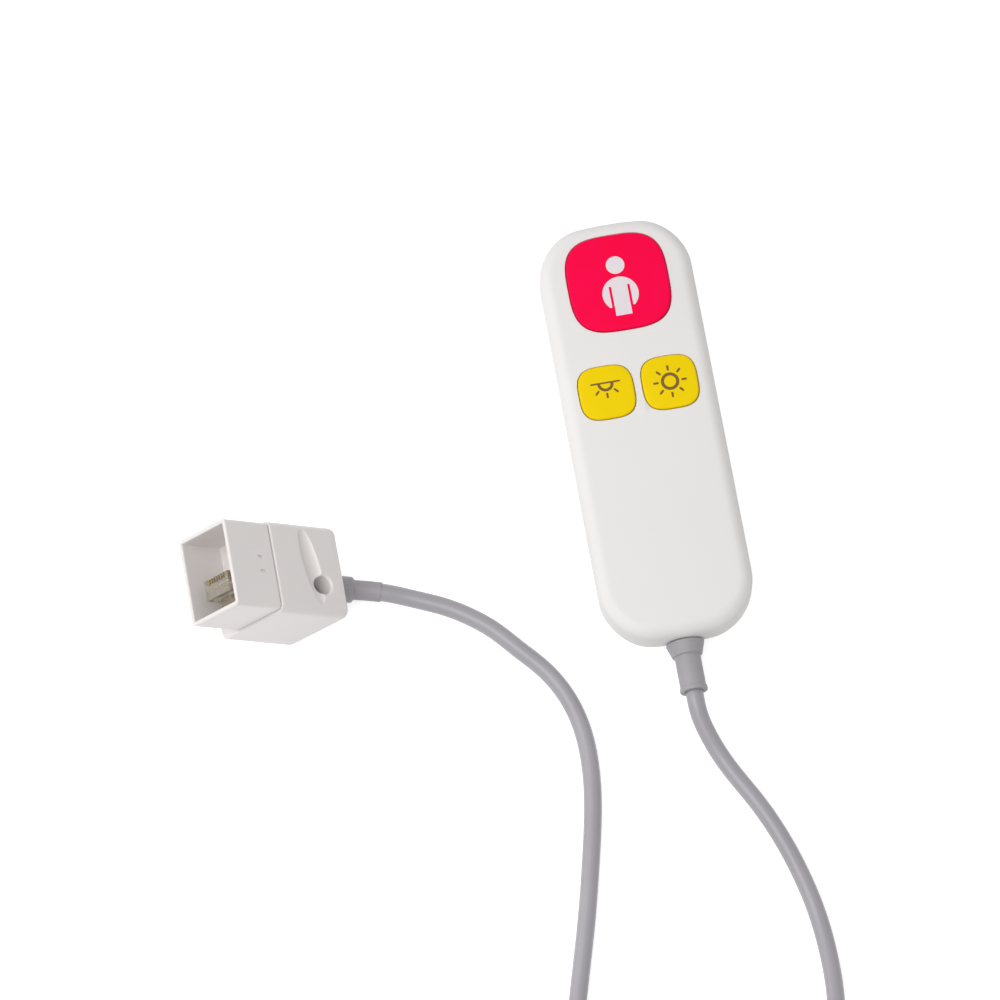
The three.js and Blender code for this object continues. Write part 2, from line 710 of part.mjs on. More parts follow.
// Where a free stretch touches the coil's outer turn, in the part's frame
function coilPlace(x, z) {
  const c = Math.cos(coilTurnAngle);
  const s = Math.sin(coilTurnAngle);
  return [coilCentreX + c * x - s * coilEntry, coilCentreY + s * x + c * coilEntry, z];
}

// Outer shape of the wound coil
function cordCoil() {
  const profile = [[coilInner, coilLift], [coilOuter, coilLift], [coilOuter, coilTop], [coilInner, coilTop],
    [coilInner, coilLift]].map(([r, y]) => new THREE.Vector2(r, y));
  const geometry = new THREE.LatheGeometry(profile, coilSegments);
  geometry.rotateX(Math.PI / 2);
  return named('cord_coil', solid(geometry), cordGrey);
}

// Flat strap closed round the coil's section
function coilTie(index) {
  const inner = [coilInner - seatGap - tieThickness, coilOuter + seatGap + tieThickness];
  const strap = box(inner[0], inner[1], -tieWidth / 2, tieWidth / 2, 0, coilTop + seatGap + tieThickness);
  const hole = box(inner[0] + tieThickness, inner[1] - tieThickness, -tieWidth, tieWidth, tieThickness,
    coilTop + seatGap);
  const mesh = named(`coil_tie_${index + 1}`, strap.subtract(hole), black);
  mesh.rotation.z = tieAngles[index];
  return mesh;
}

function handset() {
  const group = new THREE.Group();
  group.add(frontShell(), rearShell(), circuitBoard(), terminalBlock(), handsetRelief(), cordClamp());
  group.add(...keys.map(keyCap), ...keys.map(keySwitch), ...caseScrews());
  return group;
}

function plug() {
  const group = new THREE.Group();
  group.add(plugBody(), plugHood(), contactCarrier(), plugScrew(), ...contacts());
  group.rotation.y = plugTilt;
  group.position.set(plugBackX, plugBackY, plugBackZ);
  return group;
}

function coil() {
  const group = new THREE.Group();
  group.add(cordCoil(), coilTie(0), coilTie(1));
  group.position.set(coilCentreX, coilCentreY, 0);
  group.rotation.z = coilTurnAngle;
  return group;
}

const unit = new THREE.Group();
unit.add(handset(), plug(), plugBoot(), plugSideCord(), handsetSideCord(), coil());

export default unit;
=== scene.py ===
import math
import bmesh
import bpy
import numpy as np
from mathutils import Matrix


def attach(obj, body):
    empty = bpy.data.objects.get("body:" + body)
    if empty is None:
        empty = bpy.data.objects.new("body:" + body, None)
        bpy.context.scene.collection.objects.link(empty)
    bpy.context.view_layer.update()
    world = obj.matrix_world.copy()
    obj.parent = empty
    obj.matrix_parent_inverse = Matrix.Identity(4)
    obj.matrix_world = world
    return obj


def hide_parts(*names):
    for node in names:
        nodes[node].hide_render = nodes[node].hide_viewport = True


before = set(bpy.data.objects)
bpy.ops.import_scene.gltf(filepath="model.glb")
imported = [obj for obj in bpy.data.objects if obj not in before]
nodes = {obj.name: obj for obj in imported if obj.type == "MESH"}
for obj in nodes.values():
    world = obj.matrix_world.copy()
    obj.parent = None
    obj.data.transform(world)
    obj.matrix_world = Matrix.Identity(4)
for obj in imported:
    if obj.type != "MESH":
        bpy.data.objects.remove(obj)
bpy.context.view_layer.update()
mm = 0.001
sameRing = 1e-6                        # mm
upright = np.array([0.0, 0.0, 1.0])

# the camera looks down from the foot end, far away with a long lens
photoView = {
    "pixels": 1000,                    # side of the square picture
    "pixelsPerMm": 2.967,              # scale at the handset
    "handsetPixel": (645, 435),        # where the middle of the handset lies in the picture
    "handsetMiddle": (0, 0, 11),       # the same place, mm
    "elevation": 72,
    "turn": 10,                        # turn about the upright axis, degrees
    "distance": 2400,                  # mm
    "sensor": 36,
}


# right, up and back directions of the camera, from its elevation and its turn about the upright axis
def viewAxes(view):
    e, t = math.radians(view["elevation"]), math.radians(view["turn"])
    right = np.array([math.cos(t), -math.sin(t), 0])
    level = np.array([math.sin(t), math.cos(t), 0])
    up = level * math.sin(e) + upright * math.cos(e)
    return right, up, np.cross(right, up)


# the point looked at lies as far from the handset's middle as the pixels say, divided by the scale
def placeCamera(view):
    right, up, back = viewAxes(view)
    half = view["pixels"] / 2
    aside = (view["handsetPixel"][0] - half) / view["pixelsPerMm"]
    below = (view["handsetPixel"][1] - half) / view["pixelsPerMm"]
    target = np.array(view["handsetMiddle"]) - right * aside + up * below
    data = bpy.data.cameras.new("photoCamera")
    data.sensor_fit = "HORIZONTAL"
    data.sensor_width = view["sensor"]
    data.lens = view["sensor"] * view["distance"] * view["pixelsPerMm"] / view["pixels"]
    data.clip_end = 50
    camera = bpy.data.objects.new("photoCamera", data)
    bpy.context.collection.objects.link(camera)
    pose = np.eye(4)
    pose[:3, :3] = np.stack([right, up, back], axis=1)
    pose[:3, 3] = (target + back * view["distance"]) * mm
    camera.matrix_world = Matrix(pose.tolist())
    bpy.context.scene.camera = camera


placeCamera(photoView)
print("camera placed")


# six times the volume inside a mesh of quads and triangles: the sum of its corner triple products
def signedVolume(points, faces):
    total = 0.0
    for size in (3, 4):
        same = np.array([f for f in faces if len(f) == size])
        if len(same):
            for k in range(1, size - 1):
                a, b, c = points[same[:, 0]], points[same[:, k]], points[same[:, k + 1]]
                total += np.einsum("ij,ij->i", a, np.cross(b, c)).sum()
    return total


# a mesh object from points in mm and faces, turned outwards if its volume comes out negative
def meshPiece(name, points, faces):
    if signedVolume(points, faces) < 0:
        faces = [f[::-1] for f in faces]
    mesh = bpy.data.meshes.new(name)
    mesh.from_pydata((points * mm).tolist(), [], faces)
    mesh.validate()
    mesh.polygons.foreach_set("use_smooth", [True] * len(mesh.polygons))
    piece = bpy.data.objects.new(name, mesh)
    bpy.context.collection.objects.link(piece)
    return piece


# quads between the neighbouring rings of a grid, round each ring, and a fan to the middle of each end
# ring; a looped grid joins its last ring to its first instead, and a ring that repeats is left out
def ringMesh(name, rings, looped=False):
    moved = np.abs(np.diff(rings, axis=0)).max(axis=(1, 2)) > sameRing
    rings = rings[np.append(True, moved)]
    rows, columns = rings.shape[:2]
    points = rings.reshape(-1, 3)
    row = np.arange(rows if looped else rows - 1)[:, None]
    column = np.arange(columns)[None, :]
    here, after = row * columns, ((row + 1) % rows) * columns
    beside = (column + 1) % columns
    quads = np.stack([here + column, here + beside, after + beside, after + column], axis=-1)
    faces = quads.reshape(-1, 4).tolist()
    if not looped:
        middles = np.stack([rings[0].mean(axis=0), rings[-1].mean(axis=0)])
        first, last = len(points), len(points) + 1
        points = np.vstack([points, middles])
        end = (rows - 1) * columns
        faces += [[first, (j + 1) % columns, j] for j in range(columns)]
        faces += [[last, end + j, end + (j + 1) % columns] for j in range(columns)]
    return meshPiece(name, points, faces)


# a natural cubic spline through the points, its parameter the chord length, read off every step along
def smoothCurve(points, step):
    p = np.array(points, float)
    at = np.concatenate([[0], np.cumsum(np.linalg.norm(np.diff(p, axis=0), axis=1))])
    count, h = len(p), np.diff(at)
    system, right = np.zeros((count, count)), np.zeros((count, 3))
    system[0, 0] = system[-1, -1] = 1
    inner = np.arange(1, count - 1)
    system[inner, inner - 1] = h[:-1]
    system[inner, inner] = 2 * (h[:-1] + h[1:])
    system[inner, inner + 1] = h[1:]
    slope = np.diff(p, axis=0) / h[:, None]
    right[1:-1] = 6 * np.diff(slope, axis=0)
    bend = np.linalg.solve(system, right)

    def read(s):
        k = np.clip(np.searchsorted(at, s, side="right") - 1, 0, count - 2)
        width = h[k][:, None]
        a, b = (at[k + 1] - s)[:, None] / width, (s - at[k])[:, None] / width
        return (a * p[k] + b * p[k + 1]
                + ((a ** 3 - a) * bend[k] + (b ** 3 - b) * bend[k + 1]) * width ** 2 / 6)

    fine = np.linspace(0, at[-1], int(at[-1] / step) * 4)
    line = read(fine)
    run = np.concatenate([[0], np.cumsum(np.linalg.norm(np.diff(line, axis=0), axis=1))])
    even = np.linspace(0, run[-1], int(run[-1] / step) + 1)
    return read(np.interp(even, run, fine))


# total length of a line of points
def lengthOf(line):
    return np.linalg.norm(np.diff(line, axis=0), axis=1).sum()


# round rings along a line: each stands square to it, one axis level, the other pointing upwards
def sweptRings(line, radii, sides):
    along = np.gradient(line, axis=0)
    along /= np.linalg.norm(along, axis=1, keepdims=True)
    side = np.cross(along, upright)
    side /= np.linalg.norm(side, axis=1, keepdims=True)
    up = np.cross(side, along)
    angle = np.linspace(0, 2 * math.pi, sides, endpoint=False)
    radii = np.broadcast_to(radii, len(line))[:, None, None]
    return (line[:, None] + radii * (np.cos(angle)[None, :, None] * side[:, None]
                                     + np.sin(angle)[None, :, None] * up[:, None]))


# rises from 0 to 1 between 0 and 1, level at both ends
def smoothStep(x):
    x = np.clip(x, 0, 1)
    return x * x * (3 - 2 * x)


plugPlan = {
    "tilt": 42,                        # degrees, leaning on its lower back edge
    "back": (-119, -33.6),             # middle of the back face from above, mm
    "length": 30,
    "half": 16,
    "edge": 2.4,
    "corner": 3,
    "gap": 0.3,
}
plugTilt = math.radians(plugPlan["tilt"])
plugOrigin = np.array([*plugPlan["back"], plugPlan["edge"]
                       + (plugPlan["half"] - plugPlan["edge"]) * math.cos(plugTilt)
                       - plugPlan["edge"] * math.sin(plugTilt)])


# from the plug's own frame to the part's: turned about Y by the tilt, then moved to its back face
def plugPlace(points):
    x, y, z = np.moveaxis(np.asarray(points, float), -1, 0)
    c, s = math.cos(plugTilt), math.sin(plugTilt)
    return np.stack([x * c + z * s, y, z * c - x * s], axis=-1) + plugOrigin


bootPlan = {
    "bend": 24,                        # radius of the bend from the plug's axis to level, mm
    "run": 6,
    "swing": 0.33,
    "steps": 12,
    "root": 5,
    "tip": 4.35,
    "rootEnd": 0.6,                    # share of its length where the thick root ends
    "grooves": (0.06, 0.3),
    "grooveDepth": 0.5,
    "grooveWidth": 0.025,
    "stepWidth": 0.05,
    "sleeve": 3.35,
    "ringStep": 0.2,
    "sides": 48,
}


# the boot's middle line: an arc that turns from the plug's axis to level, a level run after it, and
# an even swing to the cord's side
def bootLine(plan):
    x0, z0 = plugPlan["gap"] * math.cos(plugTilt), -plugPlan["gap"] * math.sin(plugTilt)
    angle = plugTilt * (1 - np.arange(plan["steps"] + 1) / plan["steps"])
    x = x0 + plan["bend"] * (math.sin(plugTilt) - np.sin(angle))
    z = z0 + plan["bend"] * (math.cos(plugTilt) - np.cos(angle))
    x, z = np.append(x, x[-1] + plan["run"]), np.append(z, z[-1])
    y = -plan["swing"] * x * x / (2 * x[-1])
    return np.stack([x, y, z], axis=-1) + plugOrigin


cordPlan = {
    "diameter": 6,
    "exit": (0, -91.4, 10.2),
    "handsetSide": [
        (0, -88.4, 10.2), (0, -91.7, 10.2), (0, -94.7, 10.2), (0.3, -98.6, 9), (1.6, -104, 7.2),
        (4.2, -111, 5), (8.1, -119.1, 3.5), (13.2, -128.5, 3), (18.8, -141, 3), (23.6, -156, 3),
        (26.8, -172, 3), (27.8, -187, 3.9), (27, -202.4, 6.2), (24.4, -217.2, 8.8),
    ],
    "plugSide": [
        (-90, -39.5, 3.4), (-83.8, -42.1, 3), (-76, -45.8, 3), (-68.8, -50.4, 3), (-61.5, -56.6, 3),
        (-54.8, -64.3, 3), (-48.2, -72, 3), (-42.3, -82, 3), (-39, -93, 3), (-38.1, -106, 3),
        (-39.6, -121, 3), (-43.4, -139, 3), (-48.7, -160, 3), (-54.8, -181, 3), (-60.8, -202.2, 3.4),
    ],
    "coilCentre": (-26, -254),
    "coilTurn": -10,                   # degrees
    "midRadius": 34,
    "pitch": 6.2,
    "columns": 4,
    "lowHeight": 4.2,
    "turns": 7.5,
    "shiftStart": 0.7,                 # part of a turn at which the cord moves over to the next column
    "shiftWidth": 0.4,
    "tuck": 2.8,                       # how far it leans inwards while it climbs to the upper layer
    "pointsPerTurn": 24,
    "step": 1.6,
    "sides": 20,
}


# the coil's turns from above: one circle after another, each a pitch further in on the lower layer and
# back out on the upper one, with a smooth step from column to column
def coilLine(plan):
    t = np.linspace(0, plan["turns"], int(plan["turns"] * plan["pointsPerTurn"]) + 1)
    shifts = np.arange(-1, math.ceil(plan["turns"]))
    column = smoothStep((t[:, None] - shifts - plan["shiftStart"]) / plan["shiftWidth"]).sum(axis=1) - 1
    last = plan["columns"] - 1
    inward = np.minimum(np.minimum(column, 2 * last + 1 - column), last)
    climb = np.clip(column - last, 0, 1)
    radius = (plan["midRadius"] + (last / 2 - inward) * plan["pitch"]
              - plan["tuck"] * np.sin(math.pi * climb))
    angle = math.pi + 2 * math.pi * t
    x, y = radius * np.cos(angle), radius * np.sin(angle)
    c, s = math.cos(math.radians(plan["coilTurn"])), math.sin(math.radians(plan["coilTurn"]))
    return np.stack([plan["coilCentre"][0] + c * x - s * y, plan["coilCentre"][1] + s * x + c * y,
                     plan["lowHeight"] + plan["pitch"] * climb], axis=-1)


# the whole cord from the handset to the plug: its listed stretch, the coil backwards, the other
# stretch, and a short way into the boot
def cordLine(plan):
    boot = bootLine(bootPlan)
    points = np.vstack([plan["handsetSide"], coilLine(plan)[::-1], plan["plugSide"][::-1],
                        boot[-1], boot[-2] * 0.5 + boot[-1] * 0.5, boot[-2]])
    line = smoothCurve(points, plan["step"])
    line[:, 2] = np.maximum(line[:, 2], plan["diameter"] / 2)
    return line


# a tube on the cord's line, with how far along it and how far round it lies kept as its map
def makeCord(plan):
    line = cordLine(plan)
    rings = sweptRings(line, plan["diameter"] / 2, plan["sides"])
    cord = ringMesh("cord", rings)
    run = np.append(np.repeat(np.arange(len(line)) * plan["step"], plan["sides"]), [0, lengthOf(line)])
    around = np.append(np.tile(np.arange(plan["sides"]) / plan["sides"], len(line)), [0, 0])
    corner = np.empty(len(cord.data.loops), int)
    cord.data.loops.foreach_get("vertex_index", corner)
    layer = cord.data.uv_layers.new(name="along")
    layer.uv.foreach_set("vector", np.stack([around[corner], run[corner] * mm], axis=-1).ravel())
    return cord, line


cord, cordPath = makeCord(cordPlan)


# the shape of each modifier on the piece becomes its own mesh
def settle(piece):
    bpy.context.view_layer.update()
    shaped = piece.evaluated_get(bpy.context.evaluated_depsgraph_get())
    mesh = bpy.data.meshes.new_from_object(shaped)
    piece.modifiers.clear()
    piece.data = mesh
    return piece


# joins or cuts with each tool in turn, and deletes the tools
def carve(piece, tools, operation="DIFFERENCE"):
    for tool in tools:
        step = piece.modifiers.new(tool.name, "BOOLEAN")
        step.operation = operation
        step.solver = "EXACT"
        step.object = tool
    settle(piece)
    for tool in tools:
        bpy.data.objects.remove(tool)
    return piece


# smooth faces, sharp where two meet at more than the angle, and normals weighted by area
def smoothFaces(piece, angle=38):
    piece.data.polygons.foreach_set("use_smooth", [True] * len(piece.data.polygons))
    piece.data.set_sharp_from_angle(angle=math.radians(angle))
    weigh = piece.modifiers.new("evenNormals", "WEIGHTED_NORMAL")
    weigh.keep_sharp = True
    return piece


shellPlan = {
    "length": 148,
    "width": 52,
    "frontHeight": 11.6,
    "rearHeight": 10,
    "partingGap": 0.4,
    "wall": 2.2,
    "corner": 15.5,
    "bow": 3,
    "frontEdge": (4.5, 4.5),           # how far in and how far up the round edge reaches
    "rearEdge": (6.5, 9.2),
    "rearInset": 0.6,
    "rimRound": 0.25,
    "crown": 0.3,                      # fall of the top face from the middle to the sides
    "cornerSteps": 24,
    "sideSteps": 20,
    "endSteps": 16,
    "edgeSteps": 12,
    "faceSteps": 10,
    "innerEdge": 1.2,                  # least reach of the inner wall's round
    "innermost": 0.03,                 # size of a face's smallest ring, as a share
    "rimSteps": 3,
    "wallSteps": 5,
    "faceSlack": 0.01,
}
frontBase = shellPlan["rearHeight"] + shellPlan["partingGap"]
shellTop = frontBase + shellPlan["frontHeight"]
footEnd = -shellPlan["length"] / 2


# points round a rounded rectangle, half sizes a and b, from the lower right corner: four quarter
# circles, and even steps between the end of one and the start of the next
def roundedRectangle(a, b, radius, cornerSteps, sideSteps, endSteps):
    turn = np.linspace(0, math.pi / 2, cornerSteps + 1)
    arcs = []
    for quarter, (sx, sy) in enumerate([(1, -1), (1, 1), (-1, 1), (-1, -1)]):
        angle = turn + (quarter - 1) * math.pi / 2
        arcs.append(np.stack([sx * (a - radius) + radius * np.cos(angle),
                              sy * (b - radius) + radius * np.sin(angle)], axis=-1))
    parts = []
    for quarter, line in enumerate(arcs):
        steps = sideSteps if quarter % 2 == 0 else endSteps
        way = arcs[(quarter + 1) % 4][0] - line[-1]
        parts += [line, line[-1] + way * (np.arange(1, steps) / steps)[:, None]]
    return np.vstack(parts)


# the shell's outline at an inset: a rounded rectangle whose points move out along Y the more, the
# nearer they are to the long axis
def shellOutline(inset):
    plan = shellPlan
    a = plan["width"] / 2 - inset
    b = plan["length"] / 2 - plan["bow"] - inset
    radius = max(plan["corner"] - inset, 1)
    line = roundedRectangle(a, b, radius, plan["cornerSteps"], plan["sideSteps"], plan["endSteps"])
    line[:, 1] *= 1 + plan["bow"] * (1 - (line[:, 0] / a) ** 2) / b
    return line


# height of the shell's top face: it falls with the square of the distance from the long axis
def shellFace(x):
    return shellTop - shellPlan["crown"] * (x / (shellPlan["width"] / 2)) ** 2


# inset and height round an edge: a quarter of an ellipse, from the side to the flat
def edgeQuarter(reach, height, steps):
    angle = np.linspace(0, math.pi / 2, steps + 1)
    return reach * (1 - np.cos(angle)), height * np.sin(angle)


# rings of a shell: from the middle of its inner face out to the rim, up its outer side, round the edge
# and in again to the middle of its outer face
def trayRings(rim, face, inset, edge, wall):
    plan = shellPlan
    sign = 1 if face > rim else -1
    shares = np.linspace(plan["innermost"], 1, plan["faceSteps"] + 1)
    innerReach, innerHeight = [max(size - wall, plan["innerEdge"]) for size in edge]
    rings = []

    def ring(line, height):
        rings.append(np.column_stack([line, np.broadcast_to(height, len(line))]))

    inner = shellOutline(inset + wall + innerReach)
    for share in shares:
        ring(inner * share, face - sign * wall)
    for drop, step in zip(*edgeQuarter(innerHeight, innerReach, plan["edgeSteps"])):
        ring(shellOutline(inset + wall + innerReach - step), face - sign * (wall + drop))
    ring(shellOutline(inset + wall), rim)
    for rise, step in zip(*edgeQuarter(plan["rimRound"], plan["rimRound"], plan["rimSteps"])):
        ring(shellOutline(inset + plan["rimRound"] - step), rim + sign * rise)
    start, stop = rim + sign * plan["rimRound"], face - sign * edge[1]
    for share in np.linspace(0, 1, plan["wallSteps"])[1:-1]:
        ring(shellOutline(inset), start + (stop - start) * share)
    for step, rise in zip(*edgeQuarter(*edge, plan["edgeSteps"])):
        ring(shellOutline(inset + step), stop + sign * rise)
    outer = shellOutline(inset + edge[0])
    for share in shares[::-1][1:]:
        ring(outer * share, face)
    return np.array(rings)


keyPlan = {
    "power": 3.3,                      # of the superellipse
    "gap": 0.25,
    "rise": 0.7,
    "edge": 0.6,
    "dome": 0.35,
    "flangeReach": 1.2,
    "flangeThickness": 1.5,
    "seat": 0.3,
    "plungerRadius": 2.2,
    "plungerBottom": 14.0,
    "flare": ((0, -0.3), (0.04, -0.15), (0.12, -0.05), (0.25, 0.03), (0.7, 0.3)),
    "steps": 128,
    "below": 1,                        # how far an opening's cutter starts under the cover
    "innermost": 0.02,
    "faceSteps": 15,
    "edgeSteps": 8,
    "neck": 0.6,                       # straight part over the flange, and the cone under it
    "plungerFlare": 2,
    "domeLimit": 1.5,
}
keyTop = shellTop + keyPlan["rise"]
keys = {
    "call": {"node": "call_button", "body": "call_key", "size": 34, "place": (0, 51.5),
             "finish": ("callRed", "call_red"), "sign": ("signWhite", "inner_white")},
    "readingLight": {"node": "reading_light_button", "body": "reading_light_key", "size": 18.6,
                     "place": (-10.8, 13.5), "finish": ("lightYellow", "key_yellow"),
                     "sign": ("signBrown", "switch_black")},
    "roomLight": {"node": "room_light_button", "body": "room_light_key", "size": 18.6,
                  "place": (10.8, 13.5), "finish": ("lightYellow", "key_yellow"),
                  "sign": ("signBrown", "switch_black")},
}


# superellipse: the distance from the middle in each direction divides by the power mean of its parts
def superellipse(size, power=keyPlan["power"]):
    angle = np.linspace(0, 2 * math.pi, keyPlan["steps"], endpoint=False)
    c, s = np.cos(angle), np.sin(angle)
    reach = size / 2 / (np.abs(c) ** power + np.abs(s) ** power) ** (1 / power)
    return np.column_stack([reach * c, reach * s])


# a cutter for a key's opening whose outline flares where it meets the face, so the rim comes out round
def keyOpening(key):
    size, middle = key["size"] + 2 * keyPlan["gap"], np.array(key["place"])
    outline = superellipse(size) + middle
    low = shellTop - shellPlan["wall"] - keyPlan["below"]
    rings = [np.column_stack([outline, np.full(len(outline), low)])]
    for reach, rise in keyPlan["flare"]:
        line = superellipse(size + 2 * reach) + middle
        rings.append(np.column_stack([line, shellFace(line[:, 0]) + rise]))
    return ringMesh("opening", np.array(rings))


# rings of a shape turned about an upright axis: a circle at each radius and height, its corners moved on
# by a part of a step
def turnedRings(place, stops, sides, shift=0):
    angle = np.linspace(0, 2 * math.pi, sides, endpoint=False) + shift * 2 * math.pi / sides
    return np.array([np.column_stack([place[0] + radius * np.cos(angle), place[1] + radius * np.sin(angle),
                                      np.full(sides, z)]) for radius, z in stops])


# a profile of radius and distance turned about a level axis along Y
def turnedAlongY(name, profile, height, sides):
    rings = turnedRings((0, 0), profile, sides)
    return ringMesh(name, np.stack([rings[..., 0], rings[..., 2], height + rings[..., 1]], axis=-1))


reliefPlan = {
    "height": 10.2,
    "neck": 4.9,
    "collar": 6.6,
    "collarTip": 5.1,
    "collarLength": 4.6,
    "sleeve": 4.4,
    "sleeveLength": 11,
    "lip": 4.7,
    "lipLength": 1.5,
    "bore": 3.05,
    "boreDepth": 2.2,
    "gap": 0.3,
    "round": 0.4,
    "flange": 6.6,
    "flangeThickness": 1.6,
    "tail": 15,
    "sides": 64,
    "cutOutside": 2,                   # how far the bore's cutter stands past the wall
    "cutInside": 3,
    "axis": 0.05,                      # radius at which the turned profile starts and ends
}


# bore through both shells for the strain relief's neck
def reliefBore():
    radius = reliefPlan["neck"] + reliefPlan["gap"]
    ends = (footEnd - reliefPlan["cutOutside"], footEnd + shellPlan["wall"] + reliefPlan["cutInside"])
    return turnedAlongY("bore", [(radius, y) for y in ends], reliefPlan["height"], casePlan["sides"])


# top cover: one tray with its three key openings and the relief's bore cut out
def makeFrontShell():
    plan = shellPlan
    rings = trayRings(frontBase, shellTop, 0, plan["frontEdge"], plan["wall"])
    outer = rings[:, :, 2] > shellTop - plan["wall"] + plan["faceSlack"]
    fall = plan["crown"] * (rings[:, :, 0] / (plan["width"] / 2)) ** 2
    rings[:, :, 2] -= np.where(outer, fall, 0)
    shell = ringMesh("frontShell", rings)
    carve(shell, [keyOpening(key) for key in keys.values()] + [reliefBore()])
    return smoothFaces(shell)


casePlan = {
    "upper": (19.4, 28.4),
    "lower": (15, -50),
    "post": 3.4,
    "postSunk": 0.15,
    "recess": 2.8,
    "recessDepth": 2.4,
    "hole": 1.55,
    "sides": 48,
    "cutReach": 1,
    "belowRim": 0.02,                  # how far a post stops short of the rim
}


# a cutter for one case screw: a wide recess from below and a narrower hole on up, in one stepped turn
# whose corners stand half a step off those of its post
def screwCutter(place, top):
    plan = casePlan
    stops = ((plan["recess"], -plan["cutReach"]), (plan["recess"], plan["recessDepth"]),
             (plan["hole"], plan["recessDepth"]), (plan["hole"], top + plan["cutReach"]))
    return ringMesh("screwCutter", turnedRings(place, stops, plan["sides"], 0.5))


# base tray: posts joined inside, then the screw recesses and the relief's bore cut out
def makeRearShell():
    plan = shellPlan
    rings = trayRings(plan["rearHeight"], 0, plan["rearInset"], plan["rearEdge"], plan["wall"])
    shell = ringMesh("rearShell", rings)
    places = [(side * x, y) for x, y in (casePlan["upper"], casePlan["lower"]) for side in (-1, 1)]
    top = plan["rearHeight"] - casePlan["belowRim"]
    foot = plan["wall"] - casePlan["postSunk"]
    posts = [turnedRings(place, [(casePlan["post"], z) for z in (foot, top)], casePlan["sides"])
             for place in places]
    carve(shell, [ringMesh("post", post) for post in posts], "UNION")
    carve(shell, [screwCutter(place, top) for place in places])
    carve(shell, [reliefBore()])
    return smoothFaces(shell)


# a key's face: domed by the fourth power of the distance from its middle
def keyFace(x, y, key):
    share = (x / (key["size"] / 2)) ** 2 + (y / (key["size"] / 2)) ** 2
    return keyTop - keyPlan["dome"] * np.clip(share, 0, keyPlan["domeLimit"]) ** 2 / 2


# a key cap: domed face, round edge, straight side, a flange under the cover and a plunger that runs
# from the superellipse into a circle
def makeKey(name, key):
    plan = keyPlan
    size, middle = key["size"], np.array(key["place"])
    rings = []

    def ring(line, z):
        rings.append(np.column_stack([line + middle, np.broadcast_to(z, len(line))]))

    flat = superellipse(size - 2 * plan["edge"])
    for share in np.linspace(plan["innermost"], 1, plan["faceSteps"]):
        ring(flat * share, keyFace(*(flat * share).T, key))
    rim = keyFace(*flat.T, key)
    for drop, step in zip(*edgeQuarter(plan["edge"], plan["edge"], plan["edgeSteps"])):
        ring(superellipse(size - 2 * plan["edge"] + 2 * step), rim - drop)
    flangeTop = shellTop - shellPlan["wall"] - plan["seat"]
    flangeLow = flangeTop - plan["flangeThickness"]
    flange, plunger = size + 2 * plan["flangeReach"], 2 * plan["plungerRadius"]
    ring(superellipse(size), flangeTop + plan["neck"])
    ring(superellipse(size), flangeTop)
    ring(superellipse(flange), flangeTop)
    ring(superellipse(flange), flangeLow)
    ring(superellipse(plunger + plan["plungerFlare"], 2), flangeLow)
    ring(superellipse(plunger, 2), flangeLow - plan["neck"])
    ring(superellipse(plunger, 2), plan["plungerBottom"])
    return smoothFaces(ringMesh(name, np.array(rings)))


# a flat sign on a key: each outline is filled, given a thickness and laid on the key's domed face
def signPiece(name, key, outlines, thickness=0.05, sunk=0.12):
    mesh = bmesh.new()
    for outline in outlines:
        line = np.asarray(outline, float)
        top = keyFace(line[:, 0], line[:, 1], key) + thickness
        rows = [[mesh.verts.new(((x + key["place"][0]) * mm, (y + key["place"][1]) * mm, z * mm))
                 for (x, y), z in zip(line, level)] for level in (top, top - thickness - sunk)]
        mesh.faces.new(rows[0])
        mesh.faces.new(rows[1][::-1])
        for i in range(len(line)):
            j = (i + 1) % len(line)
            mesh.faces.new([rows[0][i], rows[1][i], rows[1][j], rows[0][j]])
    bmesh.ops.triangulate(mesh, faces=[f for f in mesh.faces if len(f.verts) > 4])
    bmesh.ops.recalc_face_normals(mesh, faces=mesh.faces)
    data = bpy.data.meshes.new(name)
    mesh.to_mesh(data)
    mesh.free()
    piece = bpy.data.objects.new(name, data)
    bpy.context.collection.objects.link(piece)
    return piece


# points on a circle between two angles, in degrees
def arc(middle, radius, start, stop, steps=40):
    angle = np.radians(np.linspace(start, stop, steps))
    return np.column_stack([middle[0] + radius * np.cos(angle), middle[1] + radius * np.sin(angle)])


# a bar between two points with half-round ends: two arcs, one about each point
def bar(start, stop, width):
    turn = math.degrees(math.atan2(stop[1] - start[1], stop[0] - start[0]))
    return np.vstack([arc(stop, width / 2, turn - 90, turn + 90, 8),
                      arc(start, width / 2, turn + 90, turn + 270, 8)])


# part of a ring between two angles: its outer arc forwards and its inner arc backwards
def ringPart(middle, inner, outer, start, stop):
    return np.vstack([arc(middle, outer, start, stop), arc(middle, inner, stop, start)])


# a ring of short bars about a middle, at the given angles
def rays(middle, near, far, width, angles):
    out = []
    for angle in np.radians(angles):
        way = np.array([math.cos(angle), math.sin(angle)])
        out.append(bar(middle + way * near, middle + way * far, width))
    return out


personSign = {
    "head": (0, 6.0),
    "headRadius": 3.15,
    "headSteps": 45,
    "body": (0, -4.4),
    "bodyRadius": 6.15,
    "torsoHalf": 2.75,
    "slit": 0.85,
    "slitTop": -1.4,
    "armEnd": -8.9,
    "foot": -12.0,
}


